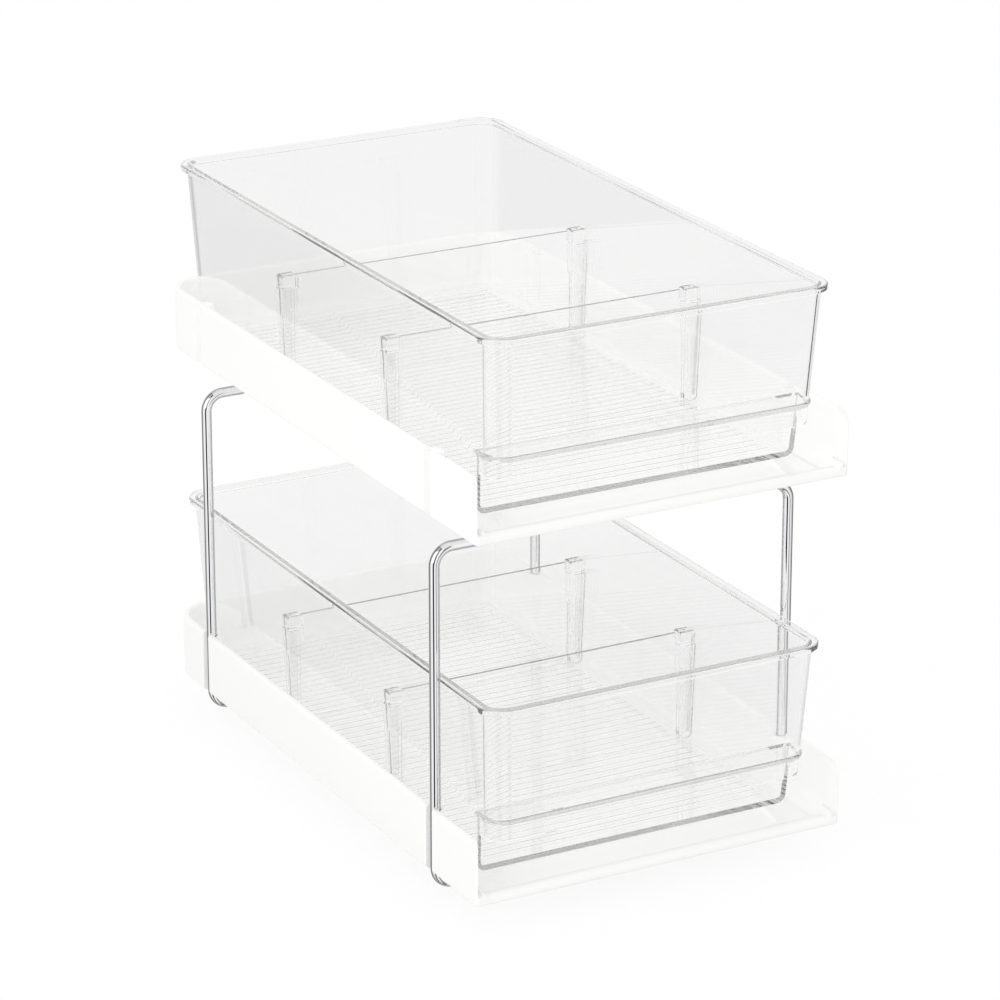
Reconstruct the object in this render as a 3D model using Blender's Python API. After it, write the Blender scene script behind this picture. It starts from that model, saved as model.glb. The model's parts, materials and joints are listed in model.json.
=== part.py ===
"""Two-tier drawer organizer: two moulded trays stacked on wire loops, each with a clear drawer.

Units are metres, +Z is up and the front faces -Y. The origin is the middle of the footprint,
on the surface that the lower tray's feet stand on.
"""
import math

import bmesh
import bpy

# Tray moulding, the same on both tiers
TRAY_WIDTH = 0.200
TRAY_DEPTH = 0.342
TRAY_WALL_HEIGHT = 0.0326
TRAY_WALL = 0.0034
TRAY_FLOOR = 0.0020
TRAY_REAR_CORNER = 0.021
TRAY_FRONT_CORNER = 0.0024
TRAY_SHOULDER = 0.010
WALL_END_TAPER = 0.0090
WALL_END_THICKNESS = 0.0008
TRAY_INNER_FILLET = 0.008
TRAY_BOTTOM_ROUND = 0.0016
TRAY_TOP_ROUND = 0.0014
TIER_PITCH = 0.180

# Rails and sill on the tray's floor
RAIL_HEIGHT = 0.0024
RAIL_TOP_WIDTH = 0.0040
RAIL_SIDE_SLOPE = 0.0016
RAIL_FRONT_SLOPE = 0.0125
RAIL_SPACING = 0.151
RAIL_FRONT_INSET = 0.0120
RAIL_REAR_INSET = 0.0160
SILL_DEPTH = 0.0060
SILL_NOSE = 0.0022
SILL_RAMP = 0.0050
SILL_ROOT = 0.0002

# Wire loops
WIRE_DIAMETER = 0.0053
WIRE_BEND = 0.0090
LEG_SUNK = 0.00085
LEG_CLEARANCE = 0.0003
LOOP_FRONT_INSET = 0.0476
LOOP_REAR_INSET = 0.0442
PILASTER_WALL = 0.00205

# Feet under the tray, each with a snap seat for a loop's bar
FOOT_HEIGHT = 0.0152
FOOT_WIDTH = 0.0130
FOOT_LENGTH = 0.0140
FOOT_SPACING = 0.1350
FOOT_CORNER = 0.0020
FOOT_DRAFT = 0.0006
BAR_DROP = 0.00815
SNAP_BITE = 0.00035

# Drawer
DRAWER_HEIGHT = 0.0909
DRAWER_WALL = 0.0020
DRAWER_FLOOR = 0.0025
DRAWER_CORNER = 0.0102
DRAWER_SIDE_GAP = 0.0116
DRAWER_FRONT_SETBACK = 0.0012
DRAWER_REAR_SETBACK = 0.0
DRAWER_SIDE_DRAFT = math.radians(2.7)
DRAWER_END_DRAFT = math.radians(4.15)
DRAWER_BOTTOM_ROUND = 0.0025
DRAWER_INNER_FILLET = 0.0040
RIM_OVERHANG = 0.0030
RIM_FACE = 0.0034
RIM_ROUND = 0.0012
RIM_LOWER_ROUND = 0.0005
RIM_INNER_ROUND = 0.0009
RUNNING_GAP = 0.0003

# Finger pull, a step in the drawer's front with a lip in front of it
PULL_LEDGE_HEIGHT = 0.0325
PULL_LEDGE = 0.0022
PULL_DEPTH = 0.0181
PULL_PANEL = 0.0022
LIP_BOTTOM = 0.0209

# Ribs across the drawer's floor
FLOOR_RIB_PITCH = 0.0060
FLOOR_RIB_WIDTH = 0.0020
FLOOR_RIB_HEIGHT = 0.0005
FLOOR_RIB_SIDE_INSET = 0.0060
FLOOR_RIB_END_INSET = 0.0080

# Channels on the drawer's side walls and the dividers that slide in them
DIVIDER_SPACING = 0.112
DIVIDER_SHIFT = 0.0014
CHANNEL_HEIGHT = 0.0523
CHANNEL_RIB = 0.0016
CHANNEL_REACH = 0.0040
DIVIDER_SHEET = 0.0016
DIVIDER_HEIGHT = 0.0590
DIVIDER_POST_WIDTH = 0.0036
DIVIDER_POST_REACH = 0.0020
DIVIDER_POST_RISE = 0.0020
DIVIDER_HEAD_ROUND = 0.0016
DIVIDER_HEAD_OVERLAP = 0.0003
DIVIDER_WALL_GAP = 0.0005
DIVIDER_CLIP_LENGTH = 0.0150
DIVIDER_CLIP_WIDTH = 0.0030
DIVIDER_CLIP_RISE = 0.0010
SLIDE_GAP = 0.0003

# How finely round stretches are drawn
CORNER_STEPS = 8
ROUND_STEPS = 3
FILLET_STEPS = 5
CIRCLE_STEPS = 24
WIRE_BEND_STEPS = 8

# How deep a shape reaches into the one it joins, how far a cutter passes the surface,
# and how far above the sill the wall ends are thinned
JOIN_DEPTH = 0.0005
CUT_PAST = 0.0050
SILL_CLEARANCE = 0.0002

# Places worked out from the sizes above
WIRE_RADIUS = WIRE_DIAMETER / 2
GROOVE_RADIUS = WIRE_RADIUS + LEG_CLEARANCE
PILASTER_RADIUS = GROOVE_RADIUS + PILASTER_WALL
LEG_X = TRAY_WIDTH / 2 - LEG_SUNK - WIRE_RADIUS
LOOP_PLACES = (LOOP_FRONT_INSET - TRAY_DEPTH / 2, TRAY_DEPTH / 2 - LOOP_REAR_INSET)
THROAT_HALF = WIRE_RADIUS - SNAP_BITE
MOUTH_DROP = math.sqrt((WIRE_RADIUS + RUNNING_GAP) ** 2 - THROAT_HALF ** 2)
LOOP_HEIGHT = TIER_PITCH - FOOT_HEIGHT - MOUTH_DROP + BAR_DROP
RAIL_TOP = TRAY_FLOOR + RAIL_HEIGHT
TIER_BOTTOMS = {"lower": FOOT_HEIGHT, "upper": FOOT_HEIGHT + TIER_PITCH}

TRAY_INNER_HALF = TRAY_WIDTH / 2 - TRAY_WALL
DRAWER_BASE_HALF = TRAY_INNER_HALF - DRAWER_SIDE_GAP
RIM_FRONT = DRAWER_FRONT_SETBACK - TRAY_DEPTH / 2
RIM_REAR = TRAY_DEPTH / 2 - DRAWER_REAR_SETBACK
CHANNEL_FACE = DRAWER_BASE_HALF - DRAWER_WALL - CHANNEL_REACH
CHANNEL_GAP = DIVIDER_POST_WIDTH + 2 * SLIDE_GAP
DIVIDER_BOTTOM = DRAWER_FLOOR + FLOOR_RIB_HEIGHT + RUNNING_GAP
DIVIDER_HEAD_BOTTOM = CHANNEL_HEIGHT + RUNNING_GAP
DIVIDER_TOP = DIVIDER_HEIGHT + DIVIDER_POST_RISE
DIVIDER_MIDDLE = (RIM_FRONT + RIM_REAR) / 2 + DIVIDER_SHIFT
DIVIDER_PLACES = {
    "front": DIVIDER_MIDDLE - DIVIDER_SPACING / 2,
    "rear": DIVIDER_MIDDLE + DIVIDER_SPACING / 2,
}


def clear_scene():
    """Remove every object that the file opened with."""
    for thing in list(bpy.data.objects):
        bpy.data.objects.remove(thing, do_unlink=True)


def new_collection(name):
    """A collection in the scene."""
    collection = bpy.data.collections.new(name)
    bpy.context.scene.collection.children.link(collection)
    return collection


def new_material(name, colour, roughness, metallic=0.0, transmission=0.0):
    """A plain finish: colour, roughness, metal or not, and how clear it is."""
    material = bpy.data.materials.new(name)
    material.use_nodes = True
    shader = material.node_tree.nodes["Principled BSDF"]
    shader.inputs["Base Color"].default_value = (*colour, 1.0)
    shader.inputs["Roughness"].default_value = roughness
    shader.inputs["Metallic"].default_value = metallic
    shader.inputs["Transmission Weight"].default_value = transmission
    material.diffuse_color = (*colour, 1.0)
    return material


def arc(centre_u, centre_v, radius, start, end, steps):
    """Points along an arc, from the start angle to the end angle in degrees."""
    points = []
    for step in range(steps + 1):
        angle = math.radians(start + (end - start) * step / steps)
        points.append((centre_u + radius * math.cos(angle), centre_v + radius * math.sin(angle)))
    return points


def round_edge(radius, steps):
    """Steps of a rounded lower edge: the rise above the bottom and the draw in from the side."""
    pairs = []
    for step in range(steps + 1):
        angle = math.pi / 2 * step / steps
        pairs.append((radius * (1 - math.cos(angle)), radius * (1 - math.sin(angle))))
    return pairs


def rounded_rectangle(half_width, front, rear, front_radius, rear_radius):
    """Plan outline with round corners, counter-clockwise from the front right corner."""
    front_y = front + front_radius
    rear_y = rear - rear_radius
    outline = arc(half_width - front_radius, front_y, front_radius, -90, 0, CORNER_STEPS)
    outline += arc(half_width - rear_radius, rear_y, rear_radius, 0, 90, CORNER_STEPS)
    outline += arc(rear_radius - half_width, rear_y, rear_radius, 90, 180, CORNER_STEPS)
    outline += arc(front_radius - half_width, front_y, front_radius, 180, 270, CORNER_STEPS)
    return outline


def rectangle(left, right, front, rear):
    """Plan outline with square corners, counter-clockwise."""
    return [(left, front), (right, front), (right, rear), (left, rear)]


def add_loft(shape, levels):
    """Add a closed body through level outlines, each a height and as many points, bottom first."""
    rings = [[shape.verts.new((x, y, height)) for x, y in outline] for height, outline in levels]
    for lower, upper in zip(rings, rings[1:]):
        for index in range(len(lower)):
            after = (index + 1) % len(lower)
            shape.faces.new((lower[index], lower[after], upper[after], upper[index]))
    shape.faces.new(reversed(rings[0]))
    shape.faces.new(rings[-1])


def add_prism(shape, outline, axis, start, end):
    """Add a flat outline drawn out along an axis: X takes (y, z) points and Z takes (x, y)."""
    if axis == "X":
        verts = [shape.verts.new((start, u, v)) for u, v in outline]
        travel = (end - start, 0.0, 0.0)
    else:
        verts = [shape.verts.new((u, v, start)) for u, v in outline]
        travel = (0.0, 0.0, end - start)
    face = shape.faces.new(verts)
    drawn = bmesh.ops.extrude_face_region(shape, geom=[face])
    moved = [item for item in drawn["geom"] if isinstance(item, bmesh.types.BMVert)]
    bmesh.ops.translate(shape, verts=moved, vec=travel)
    bmesh.ops.recalc_face_normals(shape, faces=shape.faces)


def add_box(shape, left, right, front, rear, bottom, top):
    """Add a box between two planes on each axis."""
    cube = bmesh.ops.create_cube(shape, size=1.0)
    bmesh.ops.scale(shape, verts=cube["verts"], vec=(right - left, rear - front, top - bottom))
    middle = ((left + right) / 2, (front + rear) / 2, (bottom + top) / 2)
    bmesh.ops.translate(shape, verts=cube["verts"], vec=middle)


def to_object(shape, name, collection):
    """Turn the working mesh into an object of the collection."""
    mesh = bpy.data.meshes.new(name)
    shape.to_mesh(mesh)
    shape.free()
    made = bpy.data.objects.new(name, mesh)
    collection.objects.link(made)
    return made


def to_cutter(shape, name, cutters):
    """Turn the working mesh into a cutter, shown as wire and left out of renders."""
    made = to_object(shape, name, cutters)
    made.display_type = "WIRE"
    made.hide_render = True
    return made


def combine(body, operation, tool):
    """Cut, join or trim the body with another shape."""
    modifier = body.modifiers.new(tool.name, "BOOLEAN")
    modifier.operation = operation
    modifier.solver = "EXACT"
    modifier.object = tool


def finished_mesh(body, name):
    """The body's mesh with its cuts and joins made, shaded smooth over round stretches."""
    bpy.context.view_layer.update()
    evaluated = body.evaluated_get(bpy.context.evaluated_depsgraph_get())
    mesh = bpy.data.meshes.new_from_object(evaluated)
    mesh.name = name
    mesh.shade_smooth()
    mesh.set_sharp_from_angle(angle=math.radians(32))
    return mesh


def place(name, mesh, collection, material, location, parent=None):
    """An object of the model at its place, with its own finish."""
    made = bpy.data.objects.new(name, mesh)
    made.location = location
    made.parent = parent
    collection.objects.link(made)
    if not mesh.materials:
        mesh.materials.append(material)
    return made


def tray_outline(inset):
    """The tray's plan outline, drawn in by the inset."""
    return rounded_rectangle(
        TRAY_WIDTH / 2 - inset,
        inset - TRAY_DEPTH / 2,
        TRAY_DEPTH / 2 - inset,
        TRAY_FRONT_CORNER - inset,
        TRAY_REAR_CORNER - inset,
    )


def tray_block(collection):
    """The tray's outside as a full block with a rounded lower and upper edge."""
    lower = [(rise, tray_outline(draw)) for rise, draw in round_edge(TRAY_BOTTOM_ROUND, ROUND_STEPS)]
    upper = [
        (TRAY_WALL_HEIGHT - rise, tray_outline(draw))
        for rise, draw in reversed(round_edge(TRAY_TOP_ROUND, ROUND_STEPS))
    ]
    shape = bmesh.new()
    add_loft(shape, lower + upper)
    return to_object(shape, "tray_block", collection)


def tray_hollow_outline(inset):
    """The hollow's plan outline: like the tray's at the sides and rear, but past it at the front."""
    return rounded_rectangle(
        TRAY_WIDTH / 2 - inset,
        -TRAY_DEPTH / 2 - 2 * TRAY_REAR_CORNER,
        TRAY_DEPTH / 2 - inset,
        TRAY_REAR_CORNER - inset,
        TRAY_REAR_CORNER - inset,
    )


def tray_hollow(cutters):
    """The space inside the tray, filleted at the floor, flared at the wall's top, open in front."""
    levels = [
        (TRAY_FLOOR + rise, tray_hollow_outline(TRAY_WALL + draw))
        for rise, draw in round_edge(TRAY_INNER_FILLET, FILLET_STEPS)
    ]
    flare = [
        (TRAY_WALL_HEIGHT - draw, tray_hollow_outline(TRAY_WALL - rise))
        for rise, draw in round_edge(TRAY_TOP_ROUND, ROUND_STEPS)
    ]
    past = (TRAY_WALL_HEIGHT + CUT_PAST, tray_hollow_outline(TRAY_WALL - TRAY_TOP_ROUND))
    shape = bmesh.new()
    add_loft(shape, levels + flare + [past])
    return to_cutter(shape, "tray_hollow", cutters)


def sill_outline():
    """Side view of the low sill at the tray's front: a round nose, then a ramp to the floor."""
    front = -TRAY_DEPTH / 2
    root = TRAY_FLOOR - SILL_ROOT
    nose = arc(front + SILL_NOSE, RAIL_TOP - SILL_NOSE, SILL_NOSE, 180, 90, FILLET_STEPS)
    ramp_foot = (front + SILL_DEPTH + SILL_RAMP, TRAY_FLOOR)
    return [(front, root)] + nose + [(front + SILL_DEPTH, RAIL_TOP), ramp_foot, (ramp_foot[0], root)]


def add_rail(shape, middle):
    """Add a rail on the floor, tapered at its sides and long at its front slope."""
    front = RAIL_FRONT_INSET - TRAY_DEPTH / 2
    rear = TRAY_DEPTH / 2 - RAIL_REAR_INSET - TRAY_WALL
    half = RAIL_TOP_WIDTH / 2
    wide = half + RAIL_SIDE_SLOPE
    foot = rectangle(middle - wide, middle + wide, front, rear)
    top_front = front + RAIL_FRONT_SLOPE
    top = rectangle(middle - half, middle + half, top_front, rear - RAIL_SIDE_SLOPE)
    add_loft(shape, [(TRAY_FLOOR - JOIN_DEPTH, foot), (TRAY_FLOOR, foot), (RAIL_TOP, top)])


def add_pilaster(shape, side, along):
    """Add the half-round bulge that closes the wall behind a leg's groove."""
    leg = side * LEG_X
    outer = side * (TRAY_WIDTH / 2 - TRAY_WALL / 2)
    turn = 0 if side > 0 else 180
    outline = arc(leg, along, PILASTER_RADIUS, 90 + turn, 270 + turn, CIRCLE_STEPS // 2)
    outline += [(outer, along - side * PILASTER_RADIUS), (outer, along + side * PILASTER_RADIUS)]
    top = TRAY_WALL_HEIGHT - TRAY_TOP_ROUND
    add_prism(shape, outline, "Z", TRAY_FLOOR - JOIN_DEPTH, top)


def add_foot(shape, side, along):
    """Add a tapered foot under the floor, far enough in to be hidden from the front."""
    middle = side * FOOT_SPACING / 2
    levels = []
    for height, draft in ((-FOOT_HEIGHT, FOOT_DRAFT), (0.0, 0.0), (TRAY_FLOOR / 2, 0.0)):
        half_width = FOOT_WIDTH / 2 - draft
        half_length = FOOT_LENGTH / 2 - draft
        outline = rounded_rectangle(
            half_width, along - half_length, along + half_length, FOOT_CORNER, FOOT_CORNER
        )
        levels.append((height, [(x + middle, y) for x, y in outline]))
    add_loft(shape, levels)


def tray_additions(cutters):
    """What stands on and under the tray's floor: sill, rails, pilasters and feet."""
    shape = bmesh.new()
    sill_half = TRAY_INNER_HALF + JOIN_DEPTH
    add_prism(shape, sill_outline(), "X", -sill_half, sill_half)
    for side in (-1, 1):
        add_rail(shape, side * RAIL_SPACING / 2)
        for along in LOOP_PLACES:
            add_pilaster(shape, side, along)
            add_foot(shape, side, along)
    return to_cutter(shape, "tray_additions", cutters)


def add_leg_groove(shape, side, along):
    """Add the upright groove that a leg lies in, open to the tray's side."""
    leg = side * LEG_X
    outside = side * (TRAY_WIDTH / 2 + CUT_PAST)
    turn = 0 if side > 0 else 180
    outline = arc(leg, along, GROOVE_RADIUS, 90 + turn, 270 + turn, CIRCLE_STEPS // 2)
    outline += [(outside, along - side * GROOVE_RADIUS), (outside, along + side * GROOVE_RADIUS)]
    add_prism(shape, outline, "Z", -TRAY_BOTTOM_ROUND, TRAY_WALL_HEIGHT + CUT_PAST)


def add_snap_seat(shape, along):
    """Add the keyhole through a pair of feet: a round seat for the bar over a narrower throat."""
    radius = WIRE_RADIUS + RUNNING_GAP
    opening = math.degrees(math.asin(THROAT_HALF / radius))
    below = -FOOT_HEIGHT - CUT_PAST
    outline = arc(along, -BAR_DROP, radius, opening - 90, 270 - opening, CIRCLE_STEPS)
    outline += [(along - THROAT_HALF, below), (along + THROAT_HALF, below)]
    half = LEG_X
    add_prism(shape, outline, "X", -half, half)


def add_shoulder_cut(shape):
    """Add the corner that is taken off the side walls' front ends, leaving a round shoulder."""
    front = -TRAY_DEPTH / 2
    round_start = TRAY_WALL_HEIGHT - TRAY_SHOULDER
    outline = [(front - CUT_PAST, TRAY_WALL_HEIGHT + CUT_PAST), (front - CUT_PAST, round_start)]
    outline += arc(front + TRAY_SHOULDER, round_start, TRAY_SHOULDER, 180, 90, CORNER_STEPS)
    outline += [(front + TRAY_SHOULDER, TRAY_WALL_HEIGHT + CUT_PAST)]
    add_prism(shape, outline, "X", -TRAY_WIDTH, TRAY_WIDTH)


def add_wall_end_cut(shape, side):
    """Add the curved taper that thins a side wall towards its front end, on the inside."""
    front = -TRAY_DEPTH / 2
    thinned = TRAY_WALL - WALL_END_THICKNESS
    radius = (WALL_END_TAPER ** 2 + thinned ** 2) / (2 * thinned)
    sweep = math.degrees(math.asin(WALL_END_TAPER / radius))
    centre = TRAY_INNER_HALF + radius
    outline = []
    for across, along in arc(centre, front + WALL_END_TAPER, radius, 180, 180 + sweep, CORNER_STEPS):
        outline.append((side * across, along))
    inside = TRAY_INNER_HALF - JOIN_DEPTH
    outline += [(outline[-1][0], front - CUT_PAST), (side * inside, front - CUT_PAST)]
    outline.append((side * inside, front + WALL_END_TAPER))
    add_prism(shape, outline, "Z", RAIL_TOP + SILL_CLEARANCE, TRAY_WALL_HEIGHT + CUT_PAST)


def tray_cuts(cutters):
    """The cuts made after the additions: leg grooves, snap seats, shoulders and wall ends."""
    shape = bmesh.new()
    for along in LOOP_PLACES:
        add_snap_seat(shape, along)
        for side in (-1, 1):
            add_leg_groove(shape, side, along)
    add_shoulder_cut(shape)
    tapers = bmesh.new()
    for side in (-1, 1):
        add_wall_end_cut(tapers, side)
    return to_cutter(shape, "tray_cuts", cutters), to_cutter(tapers, "wall_end_tapers", cutters)


def build_tray_mesh(cutters):
    """The tray: a low walled floor, open in front, on four feet."""
    body = tray_block(cutters)
    body.hide_render = True
    body.display_type = "WIRE"
    combine(body, "DIFFERENCE", tray_hollow(cutters))
    combine(body, "UNION", tray_additions(cutters))
    for cut in tray_cuts(cutters):
        combine(body, "DIFFERENCE", cut)
    return finished_mesh(body, "tray")


def loop_points():
    """Centre line of a wire loop in its own plane, a rectangle with round corners."""
    half = LOOP_HEIGHT / 2
    outline = []
    for across, up, start in ((1, -1, -90), (1, 1, 0), (-1, 1, 90), (-1, -1, 180)):
        centre_x = across * (LEG_X - WIRE_BEND)
        centre_z = up * (half - WIRE_BEND)
        outline += arc(centre_x, centre_z, WIRE_BEND, start, start + 90, WIRE_BEND_STEPS)
    return outline


def build_loop(name, along, collection, material):
    """A loop of round wire, standing upright across the trays."""
    curve = bpy.data.curves.new(name, "CURVE")
    curve.dimensions = "3D"
    curve.bevel_depth = WIRE_RADIUS
    curve.bevel_resolution = 4
    points = loop_points()
    spline = curve.splines.new("POLY")
    spline.points.add(len(points) - 1)
    for point, (x, z) in zip(spline.points, points):
        point.co = (x, 0.0, z, 1.0)
    spline.use_cyclic_u = True
    curve.materials.append(material)
    made = bpy.data.objects.new(name, curve)
    made.location = (0.0, along, FOOT_HEIGHT - BAR_DROP + LOOP_HEIGHT / 2)
    collection.objects.link(made)
    return made


def drawer_front(height):
    """Where the drawer's front wall has its outer face at a height above the base."""
    return RIM_FRONT + RIM_OVERHANG + (DRAWER_HEIGHT - height) * math.tan(DRAWER_END_DRAFT)


def drawer_rear(height):
    """Where the drawer's rear wall has its outer face at a height above the base."""
    return RIM_REAR - RIM_OVERHANG - (DRAWER_HEIGHT - height) * math.tan(DRAWER_END_DRAFT)


def drawer_half(height):
    """Half the drawer's outer width at a height above the base."""
    return DRAWER_BASE_HALF + height * math.tan(DRAWER_SIDE_DRAFT)


def drawer_level(height, outward):
    """A level of the drawer: its height and its outline moved outward, or inward if negative."""
    radius = DRAWER_CORNER + outward
    outline = rounded_rectangle(
        drawer_half(height) + outward,
        drawer_front(height) - outward,
        drawer_rear(height) + outward,
        radius,
        radius,
    )
    return height, outline


def drawer_block(collection):
    """The drawer's outside as a full block, drafted, with its rim turned out at the top."""
    levels = [drawer_level(rise, -draw) for rise, draw in round_edge(DRAWER_BOTTOM_ROUND, ROUND_STEPS)]
    rim_bottom = DRAWER_HEIGHT - RIM_FACE
    levels.append(drawer_level(rim_bottom, 0.0))
    levels.append(drawer_level(rim_bottom, RIM_OVERHANG - RIM_LOWER_ROUND))
    levels.append(drawer_level(rim_bottom + RIM_LOWER_ROUND, RIM_OVERHANG))
    for rise, draw in reversed(round_edge(RIM_ROUND, ROUND_STEPS)):
        levels.append(drawer_level(DRAWER_HEIGHT - rise, RIM_OVERHANG - draw))
    shape = bmesh.new()
    add_loft(shape, levels)
    return to_object(shape, "drawer_block", collection)


def pull_face():
    """Where the finger pull's panel has its front face."""
    return drawer_front(PULL_LEDGE_HEIGHT) + PULL_DEPTH


def drawer_hollow(cutters):
    """The space inside the drawer, stepped at the front over the finger pull."""
    levels = [
        drawer_level(DRAWER_FLOOR + rise, -DRAWER_WALL - draw)
        for rise, draw in round_edge(DRAWER_INNER_FILLET, FILLET_STEPS)
    ]
    for rise, draw in round_edge(RIM_INNER_ROUND, ROUND_STEPS):
        levels.append(drawer_level(DRAWER_HEIGHT - draw, rise - DRAWER_WALL))
    levels.append(drawer_level(DRAWER_HEIGHT + CUT_PAST, RIM_INNER_ROUND - DRAWER_WALL))
    shape = bmesh.new()
    add_loft(shape, levels)
    hollow = to_cutter(shape, "drawer_hollow", cutters)
    step = bmesh.new()
    wide = TRAY_WIDTH
    add_box(step, -wide, wide, -TRAY_DEPTH, pull_face() + PULL_PANEL, -CUT_PAST, PULL_LEDGE_HEIGHT)
    combine(hollow, "DIFFERENCE", to_cutter(step, "drawer_step", cutters))
    return hollow


def finger_space(cutters):
    """The space behind the lip and under the ledge, as wide as the drawer's inside."""
    shape = bmesh.new()
    under_ledge = PULL_LEDGE_HEIGHT - PULL_LEDGE
    add_loft(shape, [drawer_level(-CUT_PAST, -DRAWER_WALL), drawer_level(under_ledge, -DRAWER_WALL)])
    space = to_cutter(shape, "finger_space", cutters)
    front_part = bmesh.new()
    wide = TRAY_WIDTH
    add_box(front_part, -wide, wide, -TRAY_DEPTH, pull_face(), -2 * CUT_PAST, DRAWER_HEIGHT)
    combine(space, "INTERSECT", to_cutter(front_part, "finger_space_front", cutters))
    return space


def under_lip(cutters):
    """The space below the lip, from the panel forward."""
    shape = bmesh.new()
    wide = TRAY_WIDTH
    add_box(shape, -wide, wide, -TRAY_DEPTH, pull_face(), -CUT_PAST, LIP_BOTTOM)
    return to_cutter(shape, "under_lip", cutters)


def add_channel_rib(shape, side, near, far):
    """Add one upright rib on a side wall, its inner face plumb and its root in the drafted wall."""
    face = side * CHANNEL_FACE
    levels = []
    for height in (DRAWER_FLOOR - JOIN_DEPTH, CHANNEL_HEIGHT):
        root = side * (drawer_half(height) - DRAWER_WALL / 2)
        levels.append((height, rectangle(min(face, root), max(face, root), near, far)))
    add_loft(shape, levels)


def drawer_ribs(cutters):
    """The ribs across the floor and the channel ribs on the side walls."""
    shape = bmesh.new()
    half = DRAWER_BASE_HALF - DRAWER_WALL - FLOOR_RIB_SIDE_INSET
    start = pull_face() + PULL_PANEL + FLOOR_RIB_END_INSET
    end = drawer_rear(DRAWER_FLOOR) - DRAWER_WALL - FLOOR_RIB_END_INSET
    count = int((end - start - FLOOR_RIB_WIDTH) / FLOOR_RIB_PITCH) + 1
    for index in range(count):
        front = start + index * FLOOR_RIB_PITCH
        rear = front + FLOOR_RIB_WIDTH
        bottom = DRAWER_FLOOR - JOIN_DEPTH
        add_box(shape, -half, half, front, rear, bottom, DRAWER_FLOOR + FLOOR_RIB_HEIGHT)
    for middle in DIVIDER_PLACES.values():
        for side in (-1, 1):
            inner = CHANNEL_GAP / 2
            outer = inner + CHANNEL_RIB
            add_channel_rib(shape, side, middle - outer, middle - inner)
            add_channel_rib(shape, side, middle + inner, middle + outer)
    return to_cutter(shape, "drawer_ribs", cutters)


def build_drawer_mesh(cutters):
    """The drawer: a drafted clear bin with a rim, a finger pull, floor ribs and divider channels."""
    body = drawer_block(cutters)
    body.hide_render = True
    body.display_type = "WIRE"
    combine(body, "DIFFERENCE", drawer_hollow(cutters))
    combine(body, "DIFFERENCE", finger_space(cutters))
    combine(body, "DIFFERENCE", under_lip(cutters))
    combine(body, "UNION", drawer_ribs(cutters))
    return finished_mesh(body, "drawer")


def post_outer(height):
    """How far out a divider's post reaches at a height above the drawer's base."""
    return drawer_half(height) - DRAWER_WALL - DIVIDER_WALL_GAP


def add_side_levels(shape, side, levels):
    """Add a body through levels of height, inner and outer reach, and half width along Y."""
    drawn = []
    for height, inner, outer, half in levels:
        left = min(side * inner, side * outer)
        right = max(side * inner, side * outer)
        drawn.append((height - DIVIDER_BOTTOM, rectangle(left, right, -half, half)))
    add_loft(shape, drawn)


def divider_posts(cutters):
    """The posts at a divider's ends, which slide in the channels."""
    inner = CHANNEL_FACE - DIVIDER_POST_REACH
    toe = DRAWER_BASE_HALF - DRAWER_WALL - DRAWER_INNER_FILLET
    toe_top = DRAWER_FLOOR + DRAWER_INNER_FILLET
    half = DIVIDER_POST_WIDTH / 2
    shape = bmesh.new()
    for side in (-1, 1):
        add_side_levels(shape, side, [
            (DIVIDER_BOTTOM, inner, toe, half),
            (toe_top, inner, post_outer(toe_top), half),
            (DIVIDER_HEAD_BOTTOM + JOIN_DEPTH, inner, post_outer(DIVIDER_HEAD_BOTTOM), half),
        ])
    return to_cutter(shape, "divider_posts", cutters)


def divider_heads(cutters):
    """The wider heads over the channels, rounded at the top."""
    inner = CHANNEL_FACE - DIVIDER_POST_REACH - DIVIDER_HEAD_OVERLAP
    half = CHANNEL_GAP / 2 + CHANNEL_RIB
    shape = bmesh.new()
    for side in (-1, 1):
        levels = [(DIVIDER_HEAD_BOTTOM, inner, post_outer(DIVIDER_HEAD_BOTTOM), half)]
        for rise, draw in reversed(round_edge(DIVIDER_HEAD_ROUND, ROUND_STEPS)):
            height = DIVIDER_TOP - rise
            levels.append((height, inner + draw, post_outer(height) - draw, half - draw))
        add_side_levels(shape, side, levels)
    return to_cutter(shape, "divider_heads", cutters)


def divider_clips(cutters):
    """The short pads with round lower ends on the posts' inner edges, below the heads."""
    inner = CHANNEL_FACE - DIVIDER_POST_REACH
    radius = DIVIDER_CLIP_WIDTH / 2
    top = DIVIDER_HEAD_BOTTOM - DIVIDER_BOTTOM + JOIN_DEPTH
    round_centre = top - DIVIDER_CLIP_LENGTH
    outline = arc(0.0, round_centre, radius, 180, 360, CIRCLE_STEPS // 2)
    outline += [(radius, top), (-radius, top)]
    shape = bmesh.new()
    for side in (-1, 1):
        add_prism(shape, outline, "X", side * (inner - DIVIDER_CLIP_RISE), side * (inner + JOIN_DEPTH))
    return to_cutter(shape, "divider_clips", cutters)


def build_divider_mesh(cutters):
    """The divider: a thin clear sheet between two posts."""
    shape = bmesh.new()
    half_length = CHANNEL_FACE
    half = DIVIDER_SHEET / 2
    add_box(shape, -half_length, half_length, -half, half, 0.0, DIVIDER_HEIGHT - DIVIDER_BOTTOM)
    body = to_cutter(shape, "divider_sheet", cutters)
    combine(body, "UNION", divider_posts(cutters))
    combine(body, "UNION", divider_heads(cutters))
    combine(body, "UNION", divider_clips(cutters))
    return finished_mesh(body, "divider")


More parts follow.
